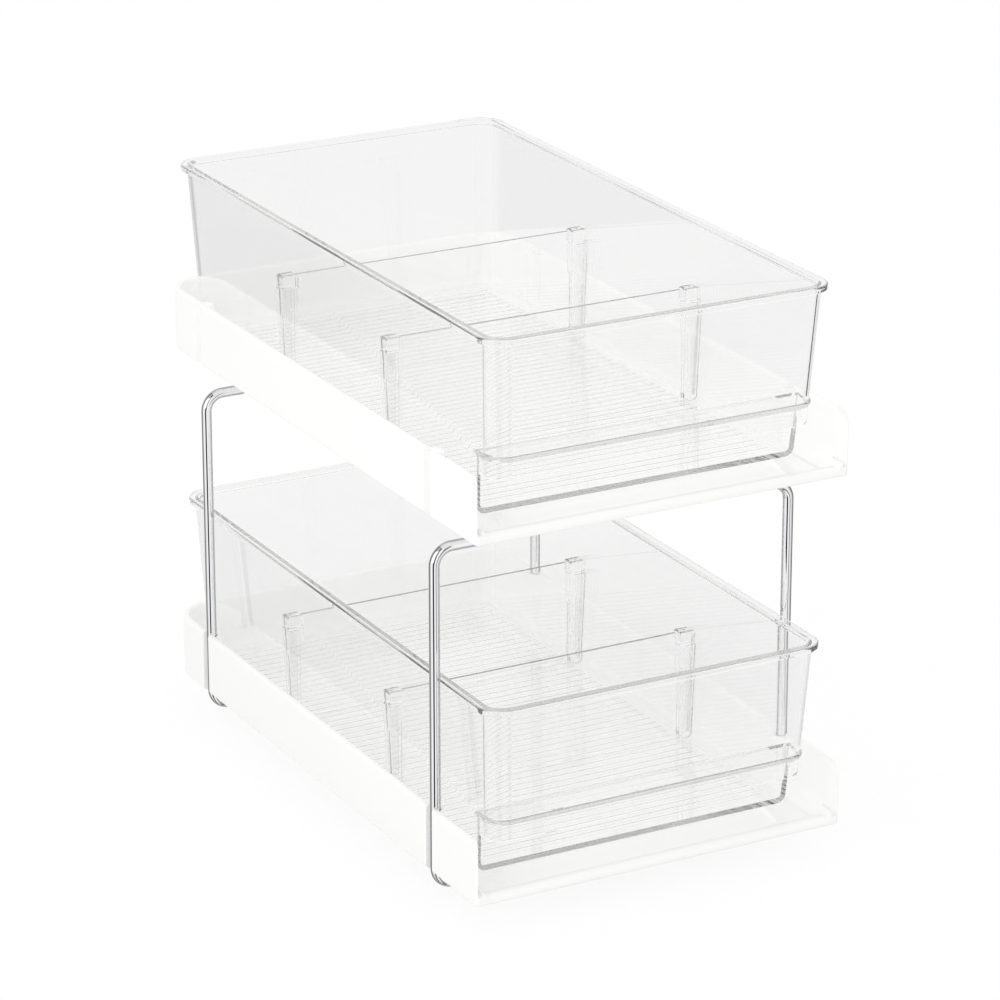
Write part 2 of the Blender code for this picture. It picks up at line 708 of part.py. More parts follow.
def build_organizer():
    """Build the meshes once and place every piece."""
    clear_scene()
    parts = new_collection("drawer_organizer")
    cutters = new_collection("cutters")
    white = new_material("white_moulded_plastic", (0.93, 0.93, 0.93), 0.35)
    clear = new_material("clear_moulded_plastic", (0.95, 0.96, 0.96), 0.04, transmission=1.0)
    chrome = new_material("chromed_wire", (0.80, 0.80, 0.81), 0.10, metallic=1.0)

    tray_mesh = build_tray_mesh(cutters)
    drawer_mesh = build_drawer_mesh(cutters)
    divider_mesh = build_divider_mesh(cutters)
    for tier, bottom in TIER_BOTTOMS.items():
        place(f"{tier}_tray", tray_mesh, parts, white, (0.0, 0.0, bottom))
        base = bottom + RAIL_TOP + RUNNING_GAP
        drawer = place(f"{tier}_drawer", drawer_mesh, parts, clear, (0.0, 0.0, base))
        for end, along in DIVIDER_PLACES.items():
            seat = (0.0, along, DIVIDER_BOTTOM)
            place(f"{tier}_{end}_divider", divider_mesh, parts, clear, seat, drawer)
    for end, along in zip(("front", "rear"), LOOP_PLACES):
        build_loop(f"{end}_wire_frame", along, parts, chrome)


build_organizer()
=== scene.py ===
"""Looks of the two-tier drawer organizer: white moulded trays on chromed wire loops, clear drawers.

Units are metres, +Z is up and the front faces -Y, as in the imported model.
"""

import json
import math

import bmesh
import bpy
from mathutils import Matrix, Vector

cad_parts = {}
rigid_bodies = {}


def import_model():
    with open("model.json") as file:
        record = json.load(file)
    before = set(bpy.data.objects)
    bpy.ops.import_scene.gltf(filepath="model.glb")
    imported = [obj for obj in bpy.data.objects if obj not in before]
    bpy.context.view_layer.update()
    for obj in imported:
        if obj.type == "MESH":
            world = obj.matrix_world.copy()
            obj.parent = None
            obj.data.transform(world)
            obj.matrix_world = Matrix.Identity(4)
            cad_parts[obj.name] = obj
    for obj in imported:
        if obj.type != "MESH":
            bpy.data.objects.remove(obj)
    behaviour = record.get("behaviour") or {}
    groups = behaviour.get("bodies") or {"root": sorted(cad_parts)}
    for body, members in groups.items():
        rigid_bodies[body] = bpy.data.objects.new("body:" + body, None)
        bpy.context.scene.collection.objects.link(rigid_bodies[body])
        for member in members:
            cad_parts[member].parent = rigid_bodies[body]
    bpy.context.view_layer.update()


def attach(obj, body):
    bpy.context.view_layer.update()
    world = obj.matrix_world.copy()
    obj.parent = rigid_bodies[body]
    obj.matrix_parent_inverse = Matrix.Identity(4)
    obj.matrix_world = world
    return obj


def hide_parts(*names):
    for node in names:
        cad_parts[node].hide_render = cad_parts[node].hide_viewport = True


MILLIMETRE = 0.001

# The photograph's view: seen from the front left and a little above
VIEW_AZIMUTH = math.radians(-28.45)
VIEW_ELEVATION = math.radians(20.21)
VIEW_DISTANCE = 2.2056
VIEW_AIM = Vector((0.0051, 0.0, 0.1445))
SENSOR_WIDTH = 36.0
FOCAL_LENGTH = 159.26
NEAREST_SEEN = 0.1
FARTHEST_SEEN = 50.0

# Tray moulding, the same on both tiers
TRAY_WIDTH = 0.200
TRAY_DEPTH = 0.342
TRAY_WALL_HEIGHT = 0.0326
TRAY_WALL = 0.0034
TRAY_FLOOR = 0.0020
TRAY_REAR_CORNER = 0.021
TRAY_FRONT_CORNER = 0.0024
TRAY_SHOULDER = 0.010
WALL_END_TAPER = 0.0090
WALL_END_THICKNESS = 0.0008
TRAY_INNER_FILLET = 0.008
TRAY_BOTTOM_ROUND = 0.0016
TRAY_TOP_ROUND = 0.0014
TIER_PITCH = 0.180

# Rails and sill on the tray's floor
RAIL_HEIGHT = 0.0024
RAIL_TOP_WIDTH = 0.0040
RAIL_SIDE_SLOPE = 0.0016
RAIL_FRONT_SLOPE = 0.0125
RAIL_SPACING = 0.151
RAIL_FRONT_INSET = 0.0120
RAIL_REAR_INSET = 0.0160
SILL_DEPTH = 0.0060
SILL_NOSE = 0.0022
SILL_RAMP = 0.0050
SILL_ROOT = 0.0002

# Wire loops
WIRE_DIAMETER = 0.0053
WIRE_BEND = 0.0090
LEG_SUNK = 0.00085
LEG_CLEARANCE = 0.0003
LOOP_FRONT_INSET = 0.0476
LOOP_REAR_INSET = 0.0442
PILASTER_WALL = 0.00205

# Feet under the tray, each with a snap seat for a loop's bar
FOOT_HEIGHT = 0.0152
FOOT_WIDTH = 0.0130
FOOT_LENGTH = 0.0140
FOOT_SPACING = 0.1350
FOOT_CORNER = 0.0020
FOOT_DRAFT = 0.0006
BAR_DROP = 0.00815
SNAP_BITE = 0.00035

# Drawer
DRAWER_HEIGHT = 0.0909
DRAWER_WALL = 0.0020
DRAWER_FLOOR = 0.0025
DRAWER_CORNER = 0.0102
DRAWER_SIDE_GAP = 0.0116
DRAWER_FRONT_SETBACK = 0.0012
DRAWER_REAR_SETBACK = 0.0
DRAWER_SIDE_DRAFT = math.radians(2.7)
DRAWER_END_DRAFT = math.radians(4.15)
DRAWER_BOTTOM_ROUND = 0.0040
DRAWER_INNER_FILLET = 0.0020
RIM_OVERHANG = 0.0030
RIM_FACE = 0.0034
RIM_ROUND = 0.0012
RIM_LOWER_ROUND = 0.0005
RIM_INNER_ROUND = 0.0009
RUNNING_GAP = 0.0003

# Finger pull, a step in the drawer's front with a lip in front of it
PULL_LEDGE_HEIGHT = 0.0325
PULL_LEDGE = 0.0022
PULL_DEPTH = 0.0181
PULL_PANEL = 0.0022
PULL_LEAN = 0.0036
LIP_BOTTOM = 0.0209

# Ribs across the drawer's floor
FLOOR_RIB_PITCH = 0.0060
FLOOR_RIB_WIDTH = 0.0020
FLOOR_RIB_HEIGHT = 0.0005
FLOOR_RIB_SIDE_INSET = 0.0060
FLOOR_RIB_END_INSET = 0.0080

# Channels on the drawer's side walls and the dividers that slide in them
DIVIDER_SPACING = 0.112
DIVIDER_SHIFT = 0.0014
CHANNEL_HEIGHT = 0.0523
CHANNEL_RIB = 0.0016
CHANNEL_REACH = 0.0040
DIVIDER_SHEET = 0.0016
DIVIDER_HEIGHT = 0.0590
DIVIDER_POST_WIDTH = 0.0036
DIVIDER_POST_REACH = 0.0020
DIVIDER_POST_RISE = 0.0008
DIVIDER_HEAD_ROUND = 0.0016
DIVIDER_HEAD_OVERLAP = 0.0003
DIVIDER_WALL_GAP = 0.0005
DIVIDER_CLIP_LENGTH = 0.0150
DIVIDER_CLIP_WIDTH = 0.0030
DIVIDER_CLIP_RISE = 0.0010
SLIDE_GAP = 0.0003

# How finely round stretches are drawn, and the angle in degrees past which an edge is shaded sharp
CORNER_STEPS = 20
ROUND_STEPS = 5
FILLET_STEPS = 8
CIRCLE_STEPS = 40
WIRE_BEND_STEPS = 16
RIB_STEPS = 6
WIRE_RESOLUTION = 10
SHARP_ANGLE = 28

# How deep a shape reaches into the one it joins, how far a cutter passes the surface,
# and how far above the sill the wall ends are thinned
JOIN_DEPTH = 0.0005
CUT_PAST = 0.0050
SILL_CLEARANCE = 0.0002

# The floor ribs' rounded tops stand a little lower than the solid's
ROUND_RIB_HEIGHT = 0.00014

# The bead along the ledge's edge on the drawer's front
BEAD_RISE = 0.0010
BEAD_HEIGHT = 0.0028
BEAD_MIDDLE = PULL_LEDGE_HEIGHT - BEAD_HEIGHT / 2

# Places worked out from the sizes above
WIRE_RADIUS = WIRE_DIAMETER / 2
GROOVE_RADIUS = WIRE_RADIUS + LEG_CLEARANCE
PILASTER_RADIUS = GROOVE_RADIUS + PILASTER_WALL
LEG_X = TRAY_WIDTH / 2 - LEG_SUNK - WIRE_RADIUS
LOOP_PLACES = (LOOP_FRONT_INSET - TRAY_DEPTH / 2, TRAY_DEPTH / 2 - LOOP_REAR_INSET)
THROAT_HALF = WIRE_RADIUS - SNAP_BITE
MOUTH_DROP = math.sqrt((WIRE_RADIUS + RUNNING_GAP) ** 2 - THROAT_HALF ** 2)
LOOP_HEIGHT = TIER_PITCH - FOOT_HEIGHT - MOUTH_DROP + BAR_DROP
RAIL_TOP = TRAY_FLOOR + RAIL_HEIGHT
TIER_BOTTOMS = {"lower": FOOT_HEIGHT, "upper": FOOT_HEIGHT + TIER_PITCH}

TRAY_INNER_HALF = TRAY_WIDTH / 2 - TRAY_WALL
DRAWER_BASE_HALF = TRAY_INNER_HALF - DRAWER_SIDE_GAP
RIM_FRONT = DRAWER_FRONT_SETBACK - TRAY_DEPTH / 2
RIM_REAR = TRAY_DEPTH / 2 - DRAWER_REAR_SETBACK
CHANNEL_FACE = DRAWER_BASE_HALF - DRAWER_WALL - CHANNEL_REACH
CHANNEL_GAP = DIVIDER_POST_WIDTH + 2 * SLIDE_GAP
DIVIDER_BOTTOM = DRAWER_FLOOR + FLOOR_RIB_HEIGHT + RUNNING_GAP
DIVIDER_HEAD_BOTTOM = CHANNEL_HEIGHT + RUNNING_GAP
DIVIDER_TOP = DIVIDER_HEIGHT + DIVIDER_POST_RISE
DIVIDER_MIDDLE = (RIM_FRONT + RIM_REAR) / 2 + DIVIDER_SHIFT
DIVIDER_PLACES = {
    "front": DIVIDER_MIDDLE - DIVIDER_SPACING / 2,
    "rear": DIVIDER_MIDDLE + DIVIDER_SPACING / 2,
}

# Softbox at the front left, with its power in watts. As everywhere here, azimuth 0 lies before
# the organizer, 90 to its right and -90 to its left.
SOFTBOX_AZIMUTH = math.radians(-68.0)
SOFTBOX_ELEVATION = math.radians(23.0)
SOFTBOX_DISTANCE = 0.95
SOFTBOX_SIZE = 0.72
SOFTBOX_POWER = 1.10

# Grey cards beside and behind the set, which the clear plastic's round corners bend into view:
# name, place, turn in degrees, width and grey
FLAGS = (
    ("right_flag", (0.55, -0.06), 101.5, 0.13, "#303030"),
    ("rear_left_flag", (-0.235, 0.56), 180.0, 0.34, "#CCCCCC"),
    ("rear_flag", (0.00, 0.56), 180.0, 0.10, "#B8B8B8"),
)
FLAG_HEIGHT = 0.45

# A card is made one metre square and then scaled. It fades out from partway off its middle to
# its sides.
CARD_HALF = 0.5
CARD_FADE_START = 0.25

# The pale room, and the darker strips of it that the chrome mirrors: azimuth and half width in
# degrees, and grey
ROOM_WHITE = "#FBFBFB"
MIRRORED_STRIPS = (
    (-163.0, 8.0, "#C4C4C4"),
    (-133.0, 13.0, "#9C9C9C"),
    (-44.0, 13.0, "#181818"),
    (13.0, 8.0, "#8C8C8C"),
    (97.0, 18.0, "#848484"),
)
STRIP_FADE = 3.0

# The darker ceiling that clear plastic and metal mirror: how high up it starts and is in full,
# as the sine of the elevation, and how bright it is
CEILING_START = 0.55
CEILING_END = 0.70
CEILING_LIGHT = 0.6

# The floor, half its length, its paper's two tones, the tone that the camera sees and how much
# of that is a plain glow
FLOOR_HALF = 6.0
PAPER_TONES = ("#F2F2F2", "#F6F6F6")
PAPER_SEEN = "#FCFCFC"
PAPER_GLOW = 0.88

# Sizes of the finishes' patterns, and the range that most of a noise pattern lies in
FLOW_MARK = 35 * MILLIMETRE
MOULD_GRAIN = 0.6 * MILLIMETRE
MOULD_GRAIN_RELIEF = 0.02 * MILLIMETRE
MELT_WAVE = 30 * MILLIMETRE
MELT_WAVE_RELIEF = 0.1 * MILLIMETRE
HAZE_PATCH = 12 * MILLIMETRE
PLATING_SPOT = 4 * MILLIMETRE
PAPER_FIBRE = 3 * MILLIMETRE
NOISE_LOW = 0.3
NOISE_HIGH = 0.7

# White polypropylene: colour, roughness and how strongly its grain shows
WHITE = "#FBFBFA"
WHITE_IOR = 1.49
WHITE_ROUGHNESS = (0.28, 0.38)
WHITE_GRAIN_STRENGTH = 0.25

# Clear polystyrene: roughness, how strongly its waves show, and the grey of its depth
CLEAR_IOR = 1.57
CLEAR_ROUGHNESS = (0.015, 0.04)
CLEAR_WAVE_STRENGTH = 0.5
DEPTH_GREY = "#B9BABA"
DEPTH_DENSITY = 2.5
# Painted shade: the grey painted into the clear plastic's colour along the ledge's bead
BEAD_PAINTED_SHADE = "#D6D6D6"

# What a clear face lets through straight on, the number of bounces that guide light inside the
# plastic before it leaks out, and the tint that it leaves drawers and dividers with
FILM_TINT = "#FEFEFE"
GUIDED_DEPTH = 12.5
DRAWER_LEAK = "#FCFCFC"
DIVIDER_LEAK = "#C8C8C8"

# Chrome: roughness, and its grey from the middle of a wire, facing the eye, to its edge: the chrome's own
# pale grey, darkened between by a painted reflection
CHROME_ROUGHNESS = (0.02, 0.045)
CHROME_PAINTED_REFLECTION = ((0.20, "#F6F6F8"), (0.36, "#B8B8BA"), (0.70, "#B8B8BA"), (0.92, "#ECECEE"))


def linear(hex_colour):
    """An sRGB hex colour as linear red, green and blue, with alpha 1."""
    channels = [int(hex_colour[start:start + 2], 16) / 255 for start in (1, 3, 5)]
    return (*[c / 12.92 if c <= 0.04045 else ((c + 0.055) / 1.055) ** 2.4 for c in channels], 1.0)


def add_node(tree, kind, settings=None, inputs=None):
    """Add a node, give it its settings, and set or link its inputs, found by name or number."""
    node = tree.nodes.new(kind)
    for name, value in (settings or {}).items():
        setattr(node, name, value)
    for name, value in (inputs or {}).items():
        if isinstance(value, bpy.types.NodeSocket):
            tree.links.new(value, node.inputs[name])
        else:
            node.inputs[name].default_value = value
    return node


def new_material(name):
    """A material with an empty node tree."""
    material = bpy.data.materials.new(name)
    material.use_nodes = True
    material.node_tree.nodes.clear()
    return material


def set_stops(ramp, stops):
    """Give a colour ramp its stops, each a place from 0 to 1 and a hex colour."""
    ramp.elements.remove(ramp.elements[1])
    first_place, first_colour = stops[0]
    ramp.elements[0].position = first_place
    ramp.elements[0].color = linear(first_colour)
    for place, colour in stops[1:]:
        ramp.elements.new(place).color = linear(colour)


def mirror_ray(tree, rays):
    """1 for a ray that a polished face mirrors, and 0 for one that goes through the clear plastic."""
    mirrored = add_node(tree, "ShaderNodeMath", {"operation": "SUBTRACT", "use_clamp": True}, {
        0: rays["Is Glossy Ray"], 1: rays["Is Transmission Ray"]})
    return mirrored.outputs["Value"]


def white_moulded_polypropylene():
    """Opaque white polypropylene from a fine-grained mould: soft, wide highlights, smooth to the eye."""
    material = new_material("white_moulded_polypropylene")
    tree = material.node_tree
    place = add_node(tree, "ShaderNodeTexCoord").outputs["Object"]
    flow = add_node(tree, "ShaderNodeTexNoise", inputs={
        "Vector": place, "Scale": 1 / FLOW_MARK, "Detail": 2.0})
    grain = add_node(tree, "ShaderNodeTexNoise", inputs={
        "Vector": place, "Scale": 1 / MOULD_GRAIN, "Detail": 1.0})
    gloss = add_node(tree, "ShaderNodeMapRange", inputs={
        "Value": flow.outputs["Fac"], "From Min": NOISE_LOW, "From Max": NOISE_HIGH,
        "To Min": WHITE_ROUGHNESS[0], "To Max": WHITE_ROUGHNESS[1]})
    bump = add_node(tree, "ShaderNodeBump", inputs={
        "Height": grain.outputs["Fac"], "Strength": WHITE_GRAIN_STRENGTH, "Distance": MOULD_GRAIN_RELIEF})
    shader = add_node(tree, "ShaderNodeBsdfPrincipled", inputs={
        "Base Color": linear(WHITE), "Roughness": gloss.outputs["Result"], "IOR": WHITE_IOR,
        "Normal": bump.outputs["Normal"]})
    add_node(tree, "ShaderNodeOutputMaterial", inputs={"Surface": shader.outputs["BSDF"]})
    return material


def painted_bead_shade(tree, place):
    """Painted shade in the clear plastic's colour: the bead along the ledge is thicker than the walls, and
    it is painted grey for the dark band that it shows.
    """
    where = add_node(tree, "ShaderNodeSeparateXYZ", inputs={"Vector": place}).outputs
    in_front = add_node(tree, "ShaderNodeMath", {"operation": "LESS_THAN"}, {
        0: where["Y"], 1: drawer_front(PULL_LEDGE_HEIGHT) + BEAD_RISE})
    at_bead = add_node(tree, "ShaderNodeMath", {"operation": "COMPARE"}, {
        0: where["Z"], 1: BEAD_MIDDLE, 2: BEAD_HEIGHT / 2})
    bead = add_node(tree, "ShaderNodeMath", {"operation": "MULTIPLY"}, {
        0: in_front.outputs["Value"], 1: at_bead.outputs["Value"]})
    grey = add_node(tree, "ShaderNodeMix", {"data_type": "RGBA"}, {
        "Factor": bead.outputs["Value"], "A": linear("#FFFFFF"), "B": linear(BEAD_PAINTED_SHADE)})
    return grey.outputs["Result"]


def clear_moulded_polystyrene(name, leak):
    """Clear polystyrene from a polished mould: glassy, faintly wavy from its flow, grey in its depth."""
    material = new_material(name)
    tree = material.node_tree
    place = add_node(tree, "ShaderNodeTexCoord").outputs["Object"]
    waves = add_node(tree, "ShaderNodeTexNoise", inputs={
        "Vector": place, "Scale": 1 / MELT_WAVE, "Detail": 1.0})
    haze = add_node(tree, "ShaderNodeTexNoise", inputs={
        "Vector": place, "Scale": 1 / HAZE_PATCH, "Detail": 3.0})
    polish = add_node(tree, "ShaderNodeMapRange", inputs={
        "Value": haze.outputs["Fac"], "From Min": NOISE_LOW, "From Max": NOISE_HIGH,
        "To Min": CLEAR_ROUGHNESS[0], "To Max": CLEAR_ROUGHNESS[1]})
    bump = add_node(tree, "ShaderNodeBump", inputs={
        "Height": waves.outputs["Fac"], "Strength": CLEAR_WAVE_STRENGTH, "Distance": MELT_WAVE_RELIEF})
    # The plastic's colour carries painted shade along the ledge's bead.
    shader = add_node(tree, "ShaderNodeBsdfPrincipled", inputs={
        "Base Color": painted_bead_shade(tree, place), "Roughness": polish.outputs["Result"], "IOR": CLEAR_IOR,
        "Transmission Weight": 1.0, "Normal": bump.outputs["Normal"]})
    depth = add_node(tree, "ShaderNodeVolumeAbsorption", inputs={
        "Color": linear(DEPTH_GREY), "Density": DEPTH_DENSITY})
    # Light that falls through the plastic, or that was guided inside it for long, goes straight on.
    rays = add_node(tree, "ShaderNodeLightPath").outputs
    lighting = add_node(tree, "ShaderNodeMath", {"operation": "MAXIMUM"}, {
        0: rays["Is Shadow Ray"], 1: rays["Is Diffuse Ray"]})
    guided = add_node(tree, "ShaderNodeMath", {"operation": "GREATER_THAN"}, {
        0: rays["Ray Depth"], 1: GUIDED_DEPTH})
    straight = add_node(tree, "ShaderNodeMath", {"operation": "MAXIMUM"}, {
        0: lighting.outputs["Value"], 1: guided.outputs["Value"]})
    tone = add_node(tree, "ShaderNodeMix", {"data_type": "RGBA"}, {
        "Factor": guided.outputs["Value"], "A": linear(FILM_TINT), "B": linear(leak)})
    film = add_node(tree, "ShaderNodeBsdfTransparent", inputs={"Color": tone.outputs["Result"]})
    surface = add_node(tree, "ShaderNodeMixShader", inputs={
        0: straight.outputs["Value"], 1: shader.outputs["BSDF"], 2: film.outputs["BSDF"]})
    add_node(tree, "ShaderNodeOutputMaterial", inputs={
        "Surface": surface.outputs["Shader"], "Volume": depth.outputs["Volume"]})
    return material


def chromed_steel_wire():
    """Bright chrome plated on drawn steel wire: mirror-like, and faintly hazed in spots by the plating."""
    material = new_material("chromed_steel_wire")
    tree = material.node_tree
    place = add_node(tree, "ShaderNodeTexCoord").outputs["Object"]
    spots = add_node(tree, "ShaderNodeTexNoise", inputs={
        "Vector": place, "Scale": 1 / PLATING_SPOT, "Detail": 3.0})
    polish = add_node(tree, "ShaderNodeMapRange", inputs={
        "Value": spots.outputs["Fac"], "From Min": NOISE_LOW, "From Max": NOISE_HIGH,
        "To Min": CHROME_ROUGHNESS[0], "To Max": CHROME_ROUGHNESS[1]})
    # Painted reflection: the chrome's colour is darkened near each edge of a round wire, for the dark line
    # where bright chrome mirrors the unlit studio.
    turned_away = add_node(tree, "ShaderNodeLayerWeight", inputs={"Blend": 0.5})
    painted_reflection_lines = add_node(tree, "ShaderNodeValToRGB", inputs={"Fac": turned_away.outputs["Facing"]})
    set_stops(painted_reflection_lines.color_ramp, CHROME_PAINTED_REFLECTION)
    shader = add_node(tree, "ShaderNodeBsdfPrincipled", inputs={
        "Base Color": painted_reflection_lines.outputs["Color"], "Metallic": 1.0, "Roughness": polish.outputs["Result"]})
    add_node(tree, "ShaderNodeOutputMaterial", inputs={"Surface": shader.outputs["BSDF"]})
    return material


def seamless_paper():
    """Pale background paper, matt, mottled by its fibres, burnt out to white before the camera."""
    material = new_material("seamless_paper")
    tree = material.node_tree
    place = add_node(tree, "ShaderNodeTexCoord").outputs["Object"]
    rays = add_node(tree, "ShaderNodeLightPath").outputs
    fibres = add_node(tree, "ShaderNodeTexNoise", inputs={
        "Vector": place, "Scale": 1 / PAPER_FIBRE, "Detail": 2.0})
    pale = add_node(tree, "ShaderNodeMix", {"data_type": "RGBA"}, {
        "Factor": fibres.outputs["Fac"], "A": linear(PAPER_TONES[0]), "B": linear(PAPER_TONES[1])})
    tint = add_node(tree, "ShaderNodeMix", {"data_type": "RGBA"}, {
        "Factor": rays["Is Camera Ray"], "A": pale.outputs["Result"], "B": linear(PAPER_SEEN)})
    paper = add_node(tree, "ShaderNodeBsdfDiffuse", inputs={"Color": tint.outputs["Result"]})
    glow = add_node(tree, "ShaderNodeEmission", inputs={"Color": linear("#FFFFFF"), "Strength": 1.0})
    share = add_node(tree, "ShaderNodeMapRange", inputs={
        "Value": rays["Is Camera Ray"], "To Max": PAPER_GLOW})
    surface = add_node(tree, "ShaderNodeMixShader", inputs={
        0: share.outputs["Result"], 1: paper.outputs["BSDF"], 2: glow.outputs["Emission"]})
    # Polished faces mirror the room in place of the floor.
    open_way = add_node(tree, "ShaderNodeBsdfTransparent")
    mirrored = add_node(tree, "ShaderNodeMixShader", inputs={
        0: mirror_ray(tree, rays), 1: surface.outputs["Shader"], 2: open_way.outputs["BSDF"]})
    add_node(tree, "ShaderNodeOutputMaterial", inputs={"Surface": mirrored.outputs["Shader"]})
    return material


def arc(centre_u, centre_v, radius, start, end, steps):
    """Points along an arc, from the start angle to the end angle in degrees."""
    points = []
    for step in range(steps + 1):
        angle = math.radians(start + (end - start) * step / steps)
        points.append((centre_u + radius * math.cos(angle), centre_v + radius * math.sin(angle)))
    return points


def round_edge(radius, steps):
    """Steps of a rounded lower edge: the rise above the bottom and the draw in from the side."""
    pairs = []
    for step in range(steps + 1):
        angle = math.pi / 2 * step / steps
        pairs.append((radius * (1 - math.cos(angle)), radius * (1 - math.sin(angle))))
    return pairs


def rounded_rectangle(half_width, front, rear, front_radius, rear_radius):
    """Plan outline with round corners, counter-clockwise from the front right corner."""
    front_y = front + front_radius
    rear_y = rear - rear_radius
    outline = arc(half_width - front_radius, front_y, front_radius, -90, 0, CORNER_STEPS)
    outline += arc(half_width - rear_radius, rear_y, rear_radius, 0, 90, CORNER_STEPS)
    outline += arc(rear_radius - half_width, rear_y, rear_radius, 90, 180, CORNER_STEPS)
    outline += arc(front_radius - half_width, front_y, front_radius, 180, 270, CORNER_STEPS)
    return outline


def rectangle(left, right, front, rear):
    """Plan outline with square corners, counter-clockwise."""
    return [(left, front), (right, front), (right, rear), (left, rear)]


def add_loft(shape, levels):
    """Add a closed body through level outlines, each a height and as many points, bottom first."""
    rings = [[shape.verts.new((x, y, height)) for x, y in outline] for height, outline in levels]
    for lower, upper in zip(rings, rings[1:]):
        for index in range(len(lower)):
            after = (index + 1) % len(lower)
            shape.faces.new((lower[index], lower[after], upper[after], upper[index]))
    shape.faces.new(reversed(rings[0]))
    shape.faces.new(rings[-1])


def add_prism(shape, outline, axis, start, end):
    """Add a flat outline drawn out along an axis: X takes (y, z) points and Z takes (x, y)."""
    if axis == "X":
        verts = [shape.verts.new((start, u, v)) for u, v in outline]
        travel = (end - start, 0.0, 0.0)
    else:
        verts = [shape.verts.new((u, v, start)) for u, v in outline]
        travel = (0.0, 0.0, end - start)
    face = shape.faces.new(verts)
    drawn = bmesh.ops.extrude_face_region(shape, geom=[face])
    moved = [item for item in drawn["geom"] if isinstance(item, bmesh.types.BMVert)]
    bmesh.ops.translate(shape, verts=moved, vec=travel)
    bmesh.ops.recalc_face_normals(shape, faces=shape.faces)


def add_box(shape, left, right, front, rear, bottom, top):
    """Add a box between two planes on each axis."""
    cube = bmesh.ops.create_cube(shape, size=1.0)
    bmesh.ops.scale(shape, verts=cube["verts"], vec=(right - left, rear - front, top - bottom))
    middle = ((left + right) / 2, (front + rear) / 2, (bottom + top) / 2)
    bmesh.ops.translate(shape, verts=cube["verts"], vec=middle)


def workshop_object(shape, name):
    """Turn the working mesh into an object in the workshop, to be cut, joined or used as a tool."""
    mesh = bpy.data.meshes.new(name)
    shape.to_mesh(mesh)
    shape.free()
    made = bpy.data.objects.new(name, mesh)
    workshop = bpy.data.collections.get("workshop")
    if not workshop:
        workshop = bpy.data.collections.new("workshop")
        bpy.context.scene.collection.children.link(workshop)
    workshop.objects.link(made)
    return made


def combine(body, operation, tool):
    """Cut, join or trim the body with another shape."""
    modifier = body.modifiers.new(tool.name, "BOOLEAN")
    modifier.operation = operation
    modifier.solver = "EXACT"
    modifier.object = tool


def finished_mesh(body, name):
    """The body's mesh with its cuts and joins made and its rounds shaded smooth; clears the workshop."""
    bpy.context.view_layer.update()
    evaluated = body.evaluated_get(bpy.context.evaluated_depsgraph_get())
    mesh = bpy.data.meshes.new_from_object(evaluated)
    mesh.name = name
    mesh.shade_smooth()
    mesh.set_sharp_from_angle(angle=math.radians(SHARP_ANGLE))
    workshop = bpy.data.collections["workshop"]
    for made in list(workshop.objects):
        bpy.data.objects.remove(made)
    bpy.data.collections.remove(workshop)
    return mesh


def tray_outline(inset):
    """The tray's plan outline, drawn in by the inset."""
    return rounded_rectangle(
        TRAY_WIDTH / 2 - inset,
        inset - TRAY_DEPTH / 2,
        TRAY_DEPTH / 2 - inset,
        TRAY_FRONT_CORNER - inset,
        TRAY_REAR_CORNER - inset,
    )


def tray_block():
    """The tray's outside as a full block with a rounded lower and upper edge."""
    lower = [(rise, tray_outline(draw)) for rise, draw in round_edge(TRAY_BOTTOM_ROUND, ROUND_STEPS)]
    upper = [
        (TRAY_WALL_HEIGHT - rise, tray_outline(draw))
        for rise, draw in reversed(round_edge(TRAY_TOP_ROUND, ROUND_STEPS))
    ]
    shape = bmesh.new()
    add_loft(shape, lower + upper)
    return workshop_object(shape, "tray_block")


def tray_hollow_outline(inset):
    """The hollow's plan outline: like the tray's at the sides and rear, but past it at the front."""
    return rounded_rectangle(
        TRAY_WIDTH / 2 - inset,
        -TRAY_DEPTH / 2 - 2 * TRAY_REAR_CORNER,
        TRAY_DEPTH / 2 - inset,
        TRAY_REAR_CORNER - inset,
        TRAY_REAR_CORNER - inset,
    )


def tray_hollow():
    """The space inside the tray, filleted at the floor, flared at the wall's top, open in front."""
    levels = [
        (TRAY_FLOOR + rise, tray_hollow_outline(TRAY_WALL + draw))
        for rise, draw in round_edge(TRAY_INNER_FILLET, FILLET_STEPS)
    ]
    flare = [
        (TRAY_WALL_HEIGHT - draw, tray_hollow_outline(TRAY_WALL - rise))
        for rise, draw in round_edge(TRAY_TOP_ROUND, ROUND_STEPS)
    ]
    past = (TRAY_WALL_HEIGHT + CUT_PAST, tray_hollow_outline(TRAY_WALL - TRAY_TOP_ROUND))
    shape = bmesh.new()
    add_loft(shape, levels + flare + [past])
    return workshop_object(shape, "tray_hollow")


def sill_outline():
    """Side view of the low sill at the tray's front: a round nose, then a ramp to the floor."""
    front = -TRAY_DEPTH / 2
    root = TRAY_FLOOR - SILL_ROOT
    nose = arc(front + SILL_NOSE, RAIL_TOP - SILL_NOSE, SILL_NOSE, 180, 90, FILLET_STEPS)
    ramp_foot = (front + SILL_DEPTH + SILL_RAMP, TRAY_FLOOR)
    return [(front, root)] + nose + [(front + SILL_DEPTH, RAIL_TOP), ramp_foot, (ramp_foot[0], root)]


def add_rail(shape, middle):
    """Add a rail on the floor, tapered at its sides and long at its front slope."""
    front = RAIL_FRONT_INSET - TRAY_DEPTH / 2
    rear = TRAY_DEPTH / 2 - RAIL_REAR_INSET - TRAY_WALL
    half = RAIL_TOP_WIDTH / 2
    wide = half + RAIL_SIDE_SLOPE
    foot = rectangle(middle - wide, middle + wide, front, rear)
    top_front = front + RAIL_FRONT_SLOPE
    top = rectangle(middle - half, middle + half, top_front, rear - RAIL_SIDE_SLOPE)
    add_loft(shape, [(TRAY_FLOOR - JOIN_DEPTH, foot), (TRAY_FLOOR, foot), (RAIL_TOP, top)])


